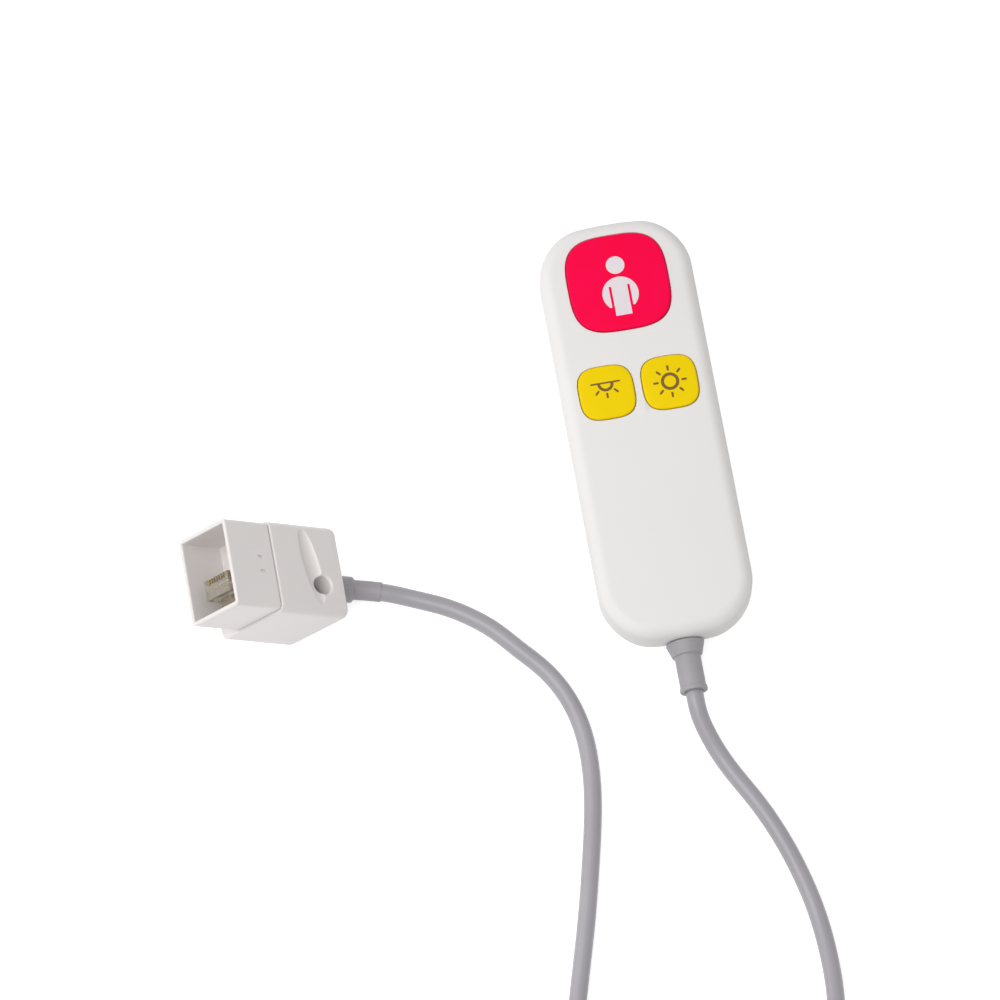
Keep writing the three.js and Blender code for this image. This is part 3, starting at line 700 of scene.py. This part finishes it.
# a person: a disc for the head, and a round body in parts that meet edge to edge: the shoulders above
# the slits, the torso between them and an arm on either side
def personOutlines(plan):
    middle, r = plan["body"], plan["bodyRadius"]
    half, top, foot = plan["torsoHalf"], plan["slitTop"], plan["foot"]
    lift = math.degrees(math.asin((top - middle[1]) / r))
    drop = math.degrees(math.asin((plan["armEnd"] - middle[1]) / r))
    shoulders = arc(middle, r, lift, 180 - lift)
    torso = [(-half, foot), (half, foot), (half, top), (-half, top)]
    right = np.vstack([arc(middle, r, drop, lift, 20), [(half + plan["slit"], top),
                                                        (half + plan["slit"], plan["armEnd"])]])
    left = right[::-1] * [-1, 1]
    last = 360 - 360 / plan["headSteps"]
    head = arc(plan["head"], plan["headRadius"], 0, last, plan["headSteps"])
    return [head, shoulders, torso, right, left]


sunSign = {"inner": 2.05, "outer": 3.1, "near": 4.2, "far": 5.4, "width": 0.75}


# a sun: a ring in two halves and eight rays
def sunOutlines(plan):
    middle = np.zeros(2)
    halves = [ringPart(middle, plan["inner"], plan["outer"], start, start + 180) for start in (0, 180)]
    return halves + rays(middle, plan["near"], plan["far"], plan["width"], np.arange(0, 360, 45) + 90)


lampSign = {"middle": (0, 3.2), "half": 4.8, "line": 0.6, "inner": 1.75, "outer": 2.75,
            "near": 3.9, "far": 5.2, "width": 0.7, "apart": 0.02}


# a ceiling lamp: a line, half a ring hanging from it and three rays below
def lampOutlines(plan):
    middle = np.array(plan["middle"])
    line = bar(middle - [plan["half"], 0], middle + [plan["half"], 0], plan["line"])
    shade = ringPart(middle - [0, plan["line"] / 2 + plan["apart"]], plan["inner"], plan["outer"], 180, 360)
    return [line, shade] + rays(middle, plan["near"], plan["far"], plan["width"], [-45, -90, -135])


frontShell = makeFrontShell()
rearShell = makeRearShell()
caps = {name: makeKey(name + "Key", key) for name, key in keys.items()}
signs = {
    "call": signPiece("personSign", keys["call"], personOutlines(personSign)),
    "readingLight": signPiece("lampSign", keys["readingLight"], lampOutlines(lampSign)),
    "roomLight": signPiece("sunSign", keys["roomLight"], sunOutlines(sunSign)),
}
print("handset shells, keys and signs made")


# corners of a profile, each replaced by a short round that takes less than half of either side
def roundedProfile(corners, radius, steps=4, parts=2.2):
    p = np.array(corners, float)
    out = [p[0]]
    for before, here, after in zip(p[:-2], p[1:-1], p[2:]):
        a, b = before - here, after - here
        reach = min(radius, np.linalg.norm(a) / parts, np.linalg.norm(b) / parts)
        a, b = here + a / np.linalg.norm(a) * reach, here + b / np.linalg.norm(b) * reach
        t = np.linspace(0, 1, steps + 1)[:, None]
        out += list((1 - t) ** 2 * a + 2 * t * (1 - t) * here + t ** 2 * b)
    return np.array(out + [p[-1]])


# strain relief: inner tail and flange, neck, collar, sleeve and lip, with the cord's bore in its end
def makeRelief(plan):
    inner = footEnd + shellPlan["wall"] + plan["gap"]
    start = footEnd - plan["gap"]
    tip = start - plan["collarLength"]
    sleeveEnd = tip - plan["sleeveLength"]
    end = sleeveEnd - plan["lipLength"]
    tail = inner + plan["flangeThickness"] + plan["tail"]
    core = cordPlan["diameter"] / 2
    corners = [
        (plan["axis"], tail), (core, tail), (core, inner + plan["flangeThickness"]),
        (plan["flange"], inner + plan["flangeThickness"]), (plan["flange"], inner),
        (plan["neck"], inner), (plan["neck"], start), (plan["collar"], start),
        (plan["collarTip"], tip), (plan["sleeve"], tip), (plan["sleeve"], sleeveEnd),
        (plan["lip"], sleeveEnd), (plan["lip"], end), (plan["bore"], end),
        (plan["bore"], end + plan["boreDepth"]), (plan["axis"], end + plan["boreDepth"]),
    ]
    return smoothFaces(turnedAlongY("handsetRelief", roundedProfile(corners, plan["round"]),
                                    plan["height"], plan["sides"]), 60)


# boot: round rings along its bent line; a thick root that narrows evenly, cut by ring grooves, then a
# smooth step down to a thin sleeve on the cord
def makeBoot(plan):
    line = smoothCurve(bootLine(plan), plan["ringStep"])
    share = np.linspace(0, 1, len(line))
    radius = plan["root"] + (plan["tip"] - plan["root"]) * share / plan["rootEnd"]
    for groove in plan["grooves"]:
        radius = radius - plan["grooveDepth"] * np.exp(-((share - groove) / plan["grooveWidth"]) ** 2)
    step = smoothStep((share - plan["rootEnd"]) / plan["stepWidth"] + 0.5)
    radius = radius * (1 - step) + plan["sleeve"] * step
    return smoothFaces(ringMesh("plugBoot", sweptRings(line, radius, plan["sides"])), 50)


handsetRelief = makeRelief(reliefPlan)
plugBoot = makeBoot(bootPlan)


sectionPlan = {"cornerSteps": 8, "sideSteps": 10, "leastCorner": 0.15, "innermost": 0.03}


# rings of a plug piece, in the box y0, y1, z0, z1: at each stop of the path, a distance along the plug,
# an inset and a share, its rounded section is inset and drawn in towards its middle by the share
def plugRings(box, corner, path):
    plan = sectionPlan
    y0, y1, z0, z1 = box
    rings = []
    for x, inset, share in path:
        line = roundedRectangle((z1 - z0) / 2 - inset, (y1 - y0) / 2 - inset,
                                max(corner - inset, plan["leastCorner"]), plan["cornerSteps"],
                                plan["sideSteps"], plan["sideSteps"])
        rings.append(np.column_stack([np.full(len(line), x), (y0 + y1) / 2 + line[:, 1] * share,
                                      (z0 + z1) / 2 + line[:, 0] * share]))
    return plugPlace(np.array(rings))


# stops that close a face: from its middle out to its edge
def faceStops(x, inset, steps):
    return [(x, inset, share) for share in np.linspace(sectionPlan["innermost"], 1, steps)]


bodyPlan = {
    "screwFromBack": 10,
    "screwBelow": 5.4,
    "screwHole": 3.3,
    "screwDepth": 9,
    "sinkReach": 0.7,                  # of the countersink round the screw hole
    "scoopHalf": (3.9, 14.6, 3.0),
    "scoopDepth": 1.9,
    "scoopFromBack": 14.2,
    "scoopAbove": 0.8,
    "scoopTurn": 9,
    "seamRound": 0.35,
    "seamSteps": 4,
    "edgeSteps": 10,
    "faceSteps": 8,
    "sideSteps": 14,
    "sideStart": 1,
    "ovalSides": 128,
    "ovalRings": 49,
    "holeSides": 64,
}


# finger scoop's cutter: an ellipsoid from rings of latitude, long along the plug's side, whose lower
# part dips through the face
def scoopCutter(plan):
    latitude = np.linspace(-math.pi / 2, math.pi / 2, plan["ovalRings"])[1:-1, None]
    longitude = np.linspace(0, 2 * math.pi, plan["ovalSides"], endpoint=False)[None, :]
    a, b, c = plan["scoopHalf"]
    x = a * np.cos(latitude) * np.cos(longitude)
    y = np.broadcast_to(b * np.sin(latitude), x.shape)
    z = c * np.cos(latitude) * np.sin(longitude) + plugPlan["half"] + c - plan["scoopDepth"]
    turn = math.radians(plan["scoopTurn"])
    return ringMesh("scoop", plugPlace(np.stack([
        x * math.cos(turn) - y * math.sin(turn) - plan["scoopFromBack"],
        x * math.sin(turn) + y * math.cos(turn) + plan["scoopAbove"], z], axis=-1)))


# screw hole's cutter: a straight bore that widens three parts outwards in three upwards from below the
# face to above it
def screwHoleCutter(plan):
    half, reach, hole = plugPlan["half"], plan["sinkReach"], plan["screwHole"]
    stops = ((hole, half - plan["screwDepth"]), (hole, half - reach), (hole + 3 * reach, half + 2 * reach))
    place = (-plan["screwFromBack"], -plan["screwBelow"])
    return ringMesh("hole", plugPlace(turnedRings(place, stops, plan["holeSides"])))


# plug body: sections from the seam to the back, edges round, then screw hole and scoop cut out
def makePlugBody(plan):
    half, seam, edge = plugPlan["half"], -plugPlan["length"], plugPlan["edge"]
    low = plan["seamRound"]
    path = faceStops(seam, low, plan["faceSteps"])
    path += [(seam + step, low - rise, 1) for step, rise in zip(*edgeQuarter(low, low, plan["seamSteps"]))]
    path += [(x, 0, 1) for x in np.linspace(seam + plan["sideStart"], -edge, plan["sideSteps"])]
    path += [(rise - edge, step, 1) for step, rise in zip(*edgeQuarter(edge, edge, plan["edgeSteps"]))]
    path += faceStops(0, edge, plan["faceSteps"])[::-1]
    body = ringMesh("plugBody", plugRings((-half, half, -half, half), plugPlan["corner"], path))
    carve(body, [scoopCutter(plan), screwHoleCutter(plan)])
    return smoothFaces(body, 24)


hoodPlan = {
    "length": 19,
    "nearInset": 0.5,
    "farInset": 7.5,
    "topInset": 0.9,
    "wall": 1.5,
    "backWall": 2,
    "corner": 1.6,
    "lip": 0.45,
    "tickLength": 2.6,
    "tickWidth": 1,
    "tickDepth": 0.6,
    "tickSpacing": 5,
    "tickFromSeam": 4.4,
    "tickAbove": 1,
    "lipSteps": 4,
    "faceSteps": 6,
    "sideSteps": 8,
    "sideStart": 1,
    "floorRound": 0.6,
    "floorSteps": 3,
}


# cutter for one of the hood's small marks: a bar with round ends, sunk into its side
def tickCutter(plan, y, side):
    far = -plugPlan["length"] - plan["tickFromSeam"] - plan["tickWidth"] / 2
    near = far - plan["tickLength"] + plan["tickWidth"]
    line = bar((near, y), (far, y), plan["tickWidth"])
    levels = (side - plan["tickDepth"], side + plan["tickAbove"])
    rings = [np.column_stack([line, np.full(len(line), z)]) for z in levels]
    return ringMesh("tick", plugPlace(np.array(rings)))


# hood: one run of sections from its back, along the outside, round the lip and back along the inside
def makeHood(plan):
    half, back = plugPlan["half"], -plugPlan["length"] - plugPlan["gap"]
    mouth, floor = back - plan["length"], back - plan["backWall"]
    box = (-half + plan["topInset"], half - plan["topInset"],
           -half + plan["farInset"], half - plan["nearInset"])
    lip, wall, low = plan["lip"], plan["wall"], plan["floorRound"]
    turn = list(zip(*edgeQuarter(lip, lip, plan["lipSteps"])))
    path = faceStops(back, lip, plan["faceSteps"])
    path += [(back - step, lip - rise, 1) for step, rise in turn]
    path += [(x, 0, 1) for x in np.linspace(back - plan["sideStart"], mouth + lip, plan["sideSteps"])]
    path += [(mouth + lip - rise, step, 1) for step, rise in turn]
    path += [(mouth + rise, wall - lip + step, 1) for rise, step in turn]
    path += [(x, wall, 1) for x in np.linspace(mouth + plan["sideStart"], floor - low, plan["sideSteps"])]
    path += [(floor - low + rise, wall + step, 1)
             for step, rise in zip(*edgeQuarter(low, low, plan["floorSteps"]))]
    path += faceStops(floor, wall + low, plan["faceSteps"])[::-1]
    hood = ringMesh("plugHood", plugRings(box, plan["corner"], path))
    carve(hood, [tickCutter(plan, side * plan["tickSpacing"] / 2, box[3]) for side in (-1, 1)])
    return smoothFaces(hood, 24)


plugBody = makePlugBody(bodyPlan)
plugHood = makeHood(hoodPlan)
print("plug body, hood and boot made")

tiePlan = {
    "angles": (60, 240),
    "width": 5,
    "thickness": 1,
    "gap": 0.15,
    "reach": 5,                        # how near to the strap a turn's point counts
    "steps": 120,
    "section": (0.3, 3, 6, 1),         # its corner, and the steps round and between its corners
}


# a strap round the coil: its loop is the hull of the turns at that angle, which is, for each direction,
# the turn that lies furthest that way plus a radius; a small rounded section is carried round it
def makeTie(name, plan, angle):
    line = coilLine(cordPlan)
    turn = math.radians(angle + cordPlan["coilTurn"])
    across = (line[:, :2] - cordPlan["coilCentre"]) @ np.array([-math.sin(turn), math.cos(turn)])
    along = (line[:, :2] - cordPlan["coilCentre"]) @ np.array([math.cos(turn), math.sin(turn)])
    near = (np.abs(across) < plan["reach"]) & (along > 0)
    held = np.column_stack([along, line[:, 2]])[near]
    way = np.linspace(0, 2 * math.pi, plan["steps"], endpoint=False)
    way = np.column_stack([np.cos(way), np.sin(way)])
    radius = cordPlan["diameter"] / 2 + plan["gap"] + plan["thickness"] / 2
    loop = held[np.argmax(way @ held.T, axis=1)] + radius * way
    loop[:, 1] = np.maximum(loop[:, 1], plan["thickness"] / 2)
    section = roundedRectangle(plan["thickness"] / 2, plan["width"] / 2, *plan["section"])
    radial = loop[:, None, 0] + way[:, None, 0] * section[None, :, 0]
    height = loop[:, None, 1] + way[:, None, 1] * section[None, :, 0]
    aside = np.broadcast_to(section[None, :, 1], radial.shape)
    x = cordPlan["coilCentre"][0] + radial * math.cos(turn) - aside * math.sin(turn)
    y = cordPlan["coilCentre"][1] + radial * math.sin(turn) + aside * math.cos(turn)
    height = np.maximum(height, 0)
    return smoothFaces(ringMesh(name, np.stack([x, y, height], axis=-1), looped=True), 60)


ties = [makeTie(f"coilTie{i + 1}", tiePlan, angle) for i, angle in enumerate(tiePlan["angles"])]
print("coil ties made")


# a colour as it shows on screen, 0 to 255, as the shader's linear values
def linear(rgb):
    s = np.array(rgb, float) / 255
    return (*np.where(s <= 0.04045, s / 12.92, ((s + 0.055) / 1.055) ** 2.4), 1)


# a node in a tree, its settings and its input values
def node(tree, kind, settings=None, values=None):
    made = tree.nodes.new("ShaderNode" + kind)
    for name, value in (settings or {}).items():
        setattr(made, name, value)
    for name, value in (values or {}).items():
        made.inputs[name].default_value = value
    return made


# moulded plastic, shared by every housing and key: broad drift of tone, fine grain and uneven gloss
def mouldedGroup():
    group = bpy.data.node_groups.new("mouldedSurface", "ShaderNodeTree")
    sockets = [("Colour", "Color", linear((230, 228, 226))), ("Shade", "Color", linear((205, 203, 201))),
               ("Drift Size", "Float", 30.0), ("Drift", "Float", 0.2), ("Grain Size", "Float", 1500.0),
               ("Gloss", "Float", 0.4), ("Gloss Spread", "Float", 0.08)]
    for name, kind, value in sockets:
        made = group.interface.new_socket(name, in_out="INPUT", socket_type="NodeSocket" + kind)
        made.default_value = value
    for name, kind in (("Colour", "Color"), ("Roughness", "Float"), ("Height", "Float")):
        group.interface.new_socket(name, in_out="OUTPUT", socket_type="NodeSocket" + kind)
    start, end = group.nodes.new("NodeGroupInput"), group.nodes.new("NodeGroupOutput")
    place = node(group, "TexCoord")
    broad = node(group, "TexNoise", values={"Detail": 3.0})
    fine = node(group, "TexNoise", values={"Detail": 4.0, "Roughness": 0.6})
    amount = node(group, "Math", {"operation": "MULTIPLY"})
    mix = node(group, "Mix", {"data_type": "RGBA"})
    swing = node(group, "Math", {"operation": "MULTIPLY_ADD"})
    for source, output, target, socket in (
            (place, "Object", broad, "Vector"), (place, "Object", fine, "Vector"),
            (start, "Drift Size", broad, "Scale"), (start, "Grain Size", fine, "Scale"),
            (broad, "Fac", amount, 0), (start, "Drift", amount, 1), (amount, 0, mix, 0),
            (start, "Colour", mix, 6), (start, "Shade", mix, 7), (broad, "Fac", swing, 0),
            (start, "Gloss Spread", swing, 1), (start, "Gloss", swing, 2), (mix, 2, end, "Colour"),
            (swing, 0, end, "Roughness"), (fine, "Fac", end, "Height")):
        group.links.new(source.outputs[output], target.inputs[socket])
    return group


mouldedSurface = mouldedGroup()


# a new material and its shader
def startMaterial(name, fixed):
    material = bpy.data.materials.new(name)
    material.use_nodes = True
    shader = material.node_tree.nodes["Principled BSDF"]
    for socket, value in fixed.items():
        shader.inputs[socket].default_value = value
    return material, material.node_tree, shader


# a bump from a height, wired to the shader's normal
def addBump(tree, shader, height, strength, distance):
    bump = node(tree, "Bump", values={"Strength": strength, "Distance": distance})
    tree.links.new(height, bump.inputs["Height"])
    tree.links.new(bump.outputs["Normal"], shader.inputs["Normal"])


mouldedSockets = ("Colour", "Shade", "Drift Size", "Drift", "Grain Size", "Gloss", "Gloss Spread")
finishes = {
    "housingWhite": ((236, 234, 232), (226, 223, 222), 18, 0.5, 2200, 0.5, 0.1),
    "plugWhite": ((232, 228, 226), (220, 214, 213), 40, 0.5, 1800, 0.3, 0.1),
    "callRed": ((255, 0, 84), (252, 0, 44), 60, 0.7, 2600, 0.5, 0.08),
    "lightYellow": ((248, 218, 6), (238, 200, 0), 70, 0.7, 2600, 0.5, 0.08),
    "signWhite": ((232, 224, 228), (222, 212, 218), 200, 0.6, 3000, 0.5, 0.08),
    "signBrown": ((104, 76, 14), (130, 96, 16), 300, 0.6, 3000, 0.5, 0.08),
    "reliefGrey": ((166, 162, 166), (150, 147, 152), 120, 0.6, 900, 0.45, 0.12),
    "boardGreen": ((44, 110, 73), (28, 82, 50), 400, 0.9, 900, 0.4, 0.1),
    "terminalGreen": ((40, 130, 84), (30, 112, 70), 200, 0.6, 1500, 0.45, 0.1),
    "switchBlack": ((34, 34, 36), (24, 24, 26), 200, 0.6, 1500, 0.5, 0.1),
}
reflection = {"housingWhite": 0.3, "callRed": 0.08, "lightYellow": 0.08}
grainDepth = {"reliefGrey": 0.3}
usualReflection, usualGrainDepth, grainHeight = 0.5, 0.12, 0.00005


# one moulded finish: the shared surface with this finish's values
def mouldedFinish(name, look):
    fixed = {"Specular IOR Level": reflection.get(name, usualReflection)}
    material, tree, shader = startMaterial(name, fixed)
    surface = tree.nodes.new("ShaderNodeGroup")
    surface.node_tree = mouldedSurface
    for socket, value in zip(mouldedSockets, (linear(look[0]), linear(look[1]), *look[2:])):
        surface.inputs[socket].default_value = value
    tree.links.new(surface.outputs["Colour"], shader.inputs["Base Color"])
    tree.links.new(surface.outputs["Roughness"], shader.inputs["Roughness"])
    addBump(tree, shader, surface.outputs["Height"], grainDepth.get(name, usualGrainDepth), grainHeight)
    return material


materials = {name: mouldedFinish(name, look) for name, look in finishes.items()}

# the shader's colour: two tones mixed by a mask
def mixTones(tree, shader, mask, tones):
    mix = node(tree, "Mix", {"data_type": "RGBA"}, {6: linear(tones[0]), 7: linear(tones[1])})
    tree.links.new(mask, mix.inputs[0])
    tree.links.new(mix.outputs[2], shader.inputs["Base Color"])


# the shader's roughness: a mask spread between two values
def spreadGloss(tree, shader, mask, ends):
    gloss = node(tree, "MapRange", values={"To Min": ends[0], "To Max": ends[1]})
    tree.links.new(mask, gloss.inputs["Value"])
    tree.links.new(gloss.outputs["Result"], shader.inputs["Roughness"])


sheathLook = {
    "tones": ((168, 165, 170), (154, 151, 158)),
    "gloss": (0.26, 0.36),
    "stretch": (9.0, 12.0, 1),         # faint drawn lines: round the sheath and along it
    "lines": 4.0,
    "drift": 50.0,
    "bump": (0.15, 0.0001),
}


# cord sheath: faint lines along it where it was drawn out, and a slow drift of tone
def sheathFinish(look):
    material, tree, shader = startMaterial("cordSheath", {"Specular IOR Level": 0.6})
    place = node(tree, "TexCoord")
    stretch = node(tree, "Mapping", values={"Scale": look["stretch"]})
    drawn = node(tree, "TexNoise", values={"Scale": look["lines"], "Detail": 4.0})
    drift = node(tree, "TexNoise", values={"Scale": look["drift"], "Detail": 2.0})
    tree.links.new(place.outputs["UV"], stretch.inputs["Vector"])
    tree.links.new(stretch.outputs["Vector"], drawn.inputs["Vector"])
    tree.links.new(place.outputs["Object"], drift.inputs["Vector"])
    mixTones(tree, shader, drift.outputs["Fac"], look["tones"])
    spreadGloss(tree, shader, drawn.outputs["Fac"], look["gloss"])
    addBump(tree, shader, drawn.outputs["Fac"], *look["bump"])
    return material


grainLooks = {
    "contactGold": {"fixed": {"Metallic": 1.0}, "tones": ((226, 190, 112), (196, 156, 84)),
                    "gloss": (0.2, 0.36), "size": 900.0, "detail": 4.0, "bump": 0.2},
    "screwSteel": {"fixed": {"Metallic": 1.0}, "tones": ((186, 187, 190), (150, 151, 155)),
                   "gloss": (0.26, 0.44), "size": 700.0, "detail": 4.0, "bump": 0.2},
    "clearPlastic": {"fixed": {"Transmission Weight": 0.8, "IOR": 1.49},
                     "tones": ((226, 219, 206), (206, 196, 176)), "gloss": (0.06, 0.2),
                     "size": 260.0, "detail": 3.0},
}


# metals and smoky clear plastic: one noise mixes two tones and makes the gloss uneven; on metal it is
# also a faint bump
def grainFinish(name, look):
    material, tree, shader = startMaterial(name, look["fixed"])
    place = node(tree, "TexCoord")
    grain = node(tree, "TexNoise", values={"Scale": look["size"], "Detail": look["detail"]})
    tree.links.new(place.outputs["Object"], grain.inputs["Vector"])
    mixTones(tree, shader, grain.outputs["Fac"], look["tones"])
    spreadGloss(tree, shader, grain.outputs["Fac"], look["gloss"])
    if "bump" in look:
        addBump(tree, shader, grain.outputs["Fac"], look["bump"], grainHeight)
    return material


strapLook = {"rows": 700.0, "tones": ((22, 22, 24), (40, 40, 42)), "bump": (0.5, 0.0002)}


# strap: two crossed sets of fine bands make the weave
def strapFinish(look):
    material, tree, shader = startMaterial("strapBlack", {"Roughness": 0.85, "Sheen Weight": 0.2})
    place = node(tree, "TexCoord")
    weave = node(tree, "Math", {"operation": "MULTIPLY"})
    for k, way in enumerate(("DIAGONAL", "Z")):
        wave = node(tree, "TexWave", {"bands_direction": way}, {"Scale": look["rows"]})
        tree.links.new(place.outputs["Object"], wave.inputs["Vector"])
        tree.links.new(wave.outputs["Fac"], weave.inputs[k])
    mixTones(tree, shader, weave.outputs[0], look["tones"])
    addBump(tree, shader, weave.outputs[0], *look["bump"])
    return material


materials["cordSheath"] = sheathFinish(sheathLook)
materials["strapBlack"] = strapFinish(strapLook)
for name, look in grainLooks.items():
    materials[name] = grainFinish(name, look)
print("finishes made")


# a piece gets its finish, rides on its body, and stands for the CAD nodes named
def dress(piece, finish, slot, body, replaced=()):
    piece.data.materials.clear()
    piece.data.materials.append(materials[finish])
    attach(piece, body)
    if replaced:
        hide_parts(*replaced)


dress(frontShell, "housingWhite", "white_housing", "handset", ["front_shell"])
dress(rearShell, "housingWhite", "white_housing", "handset", ["rear_shell"])
for name, key in keys.items():
    dress(caps[name], *key["finish"], key["body"], [key["node"]])
    dress(signs[name], *key["sign"], key["body"])
dress(handsetRelief, "reliefGrey", "relief_grey", "handset", ["handset_strain_relief"])
dress(plugBoot, "reliefGrey", "relief_grey", "handset", ["plug_strain_relief"])
dress(plugBody, "plugWhite", "plug_white", "handset", ["plug_body"])
dress(plugHood, "plugWhite", "plug_white", "handset", ["plug_hood"])
dress(cord, "cordSheath", "cord_grey", "handset", ["plug_side_cord", "handset_side_cord", "cord_coil"])
for i, tie in enumerate(ties):
    dress(tie, "strapBlack", "tie_black", "handset", [f"coil_tie_{i + 1}"])

contactNames = [f"contact_{i + 1}" for i in range(8)]
nodeFinishes = {
    "circuit_board": "boardGreen", "terminal_block": "terminalGreen", "cord_clamp": "housingWhite",
    "call_switch": "switchBlack", "reading_light_switch": "switchBlack", "room_light_switch": "switchBlack",
    "contact_carrier": "clearPlastic", "plug_screw": "screwSteel",
    **{f"case_screw_{i + 1}": "screwSteel" for i in range(4)},
    **{name: "contactGold" for name in contactNames},
}
for name, finish in nodeFinishes.items():
    kept = nodes[name]
    if not kept.material_slots:
        kept.data.materials.append(None)
    for slot in kept.material_slots:
        slot.link = "OBJECT"
        slot.material = materials[finish]

print("pieces dressed")

stagePlan = {
    "floorHalf": 6000,
    "floorTone": (236, 236, 237),
    "floorGlow": 0.62,                 # what the camera sees added, so that the ground comes out white
    "worldTone": (255, 255, 255),
    "worldLight": 0.52,
}


# floor: a matt plane that glows a little for the camera alone, so it shows white and keeps the shadow
def makeFloor(plan):
    half = plan["floorHalf"]
    points = np.array([(-half, -half, 0), (half, -half, 0), (half, half, 0), (-half, half, 0)], float)
    mesh = bpy.data.meshes.new("floor")
    mesh.from_pydata((points * mm).tolist(), [], [[0, 1, 2, 3]])
    floor = bpy.data.objects.new("floor", mesh)
    bpy.context.collection.objects.link(floor)
    material, tree, shader = startMaterial("floorMatt", {"Roughness": 0.95, "Specular IOR Level": 0.0,
                                                         "Emission Color": (1, 1, 1, 1)})
    shader.inputs["Base Color"].default_value = linear(plan["floorTone"])
    glow = node(tree, "Math", {"operation": "MULTIPLY"})
    glow.inputs[1].default_value = plan["floorGlow"]
    tree.links.new(seenRays(tree), glow.inputs[0])
    tree.links.new(glow.outputs[0], shader.inputs["Emission Strength"])
    mesh.materials.append(material)


# 1 for rays from the camera, off a gloss or through glass, 0 for the rest
def seenRays(tree):
    path = node(tree, "LightPath")
    first = node(tree, "Math", {"operation": "MAXIMUM"})
    second = node(tree, "Math", {"operation": "MAXIMUM"})
    tree.links.new(path.outputs["Is Camera Ray"], first.inputs[0])
    tree.links.new(path.outputs["Is Glossy Ray"], first.inputs[1])
    tree.links.new(first.outputs[0], second.inputs[0])
    tree.links.new(path.outputs["Is Transmission Ray"], second.inputs[1])
    return second.outputs[0]


# world: white where it is seen, dimmer where it only lights
def makeWorld(plan):
    world = bpy.data.worlds.new("studio")
    bpy.context.scene.world = world
    world.use_nodes = True
    tree = world.node_tree
    back = tree.nodes["Background"]
    back.inputs["Color"].default_value = linear(plan["worldTone"])
    level = node(tree, "MapRange", values={"To Min": plan["worldLight"], "To Max": 1.0})
    tree.links.new(seenRays(tree), level.inputs["Value"])
    tree.links.new(level.outputs["Result"], back.inputs["Strength"])


lampPlans = [
    {"name": "softTop", "place": (-500, -200, 1100), "size": 900, "power": 7.0},
    {"name": "fillLeft", "place": (-900, 300, 500), "size": 700, "power": 2.0},
]


# an area lamp that faces the handset
def makeLamp(plan):
    data = bpy.data.lights.new(plan["name"], "AREA")
    data.size = plan["size"] * mm
    data.energy = plan["power"]
    lamp = bpy.data.objects.new(plan["name"], data)
    bpy.context.collection.objects.link(lamp)
    place = np.array(plan["place"], float)
    back = place / np.linalg.norm(place)
    side = np.cross(upright, back)
    side /= np.linalg.norm(side)
    pose = np.eye(4)
    pose[:3, :3] = np.stack([side, np.cross(back, side), back], axis=1)
    pose[:3, 3] = place * mm
    lamp.matrix_world = Matrix(pose.tolist())


makeFloor(stagePlan)
makeWorld(stagePlan)
for plan in lampPlans:
    makeLamp(plan)
bpy.context.scene.view_settings.view_transform = "Standard"
print("stage and lights set")
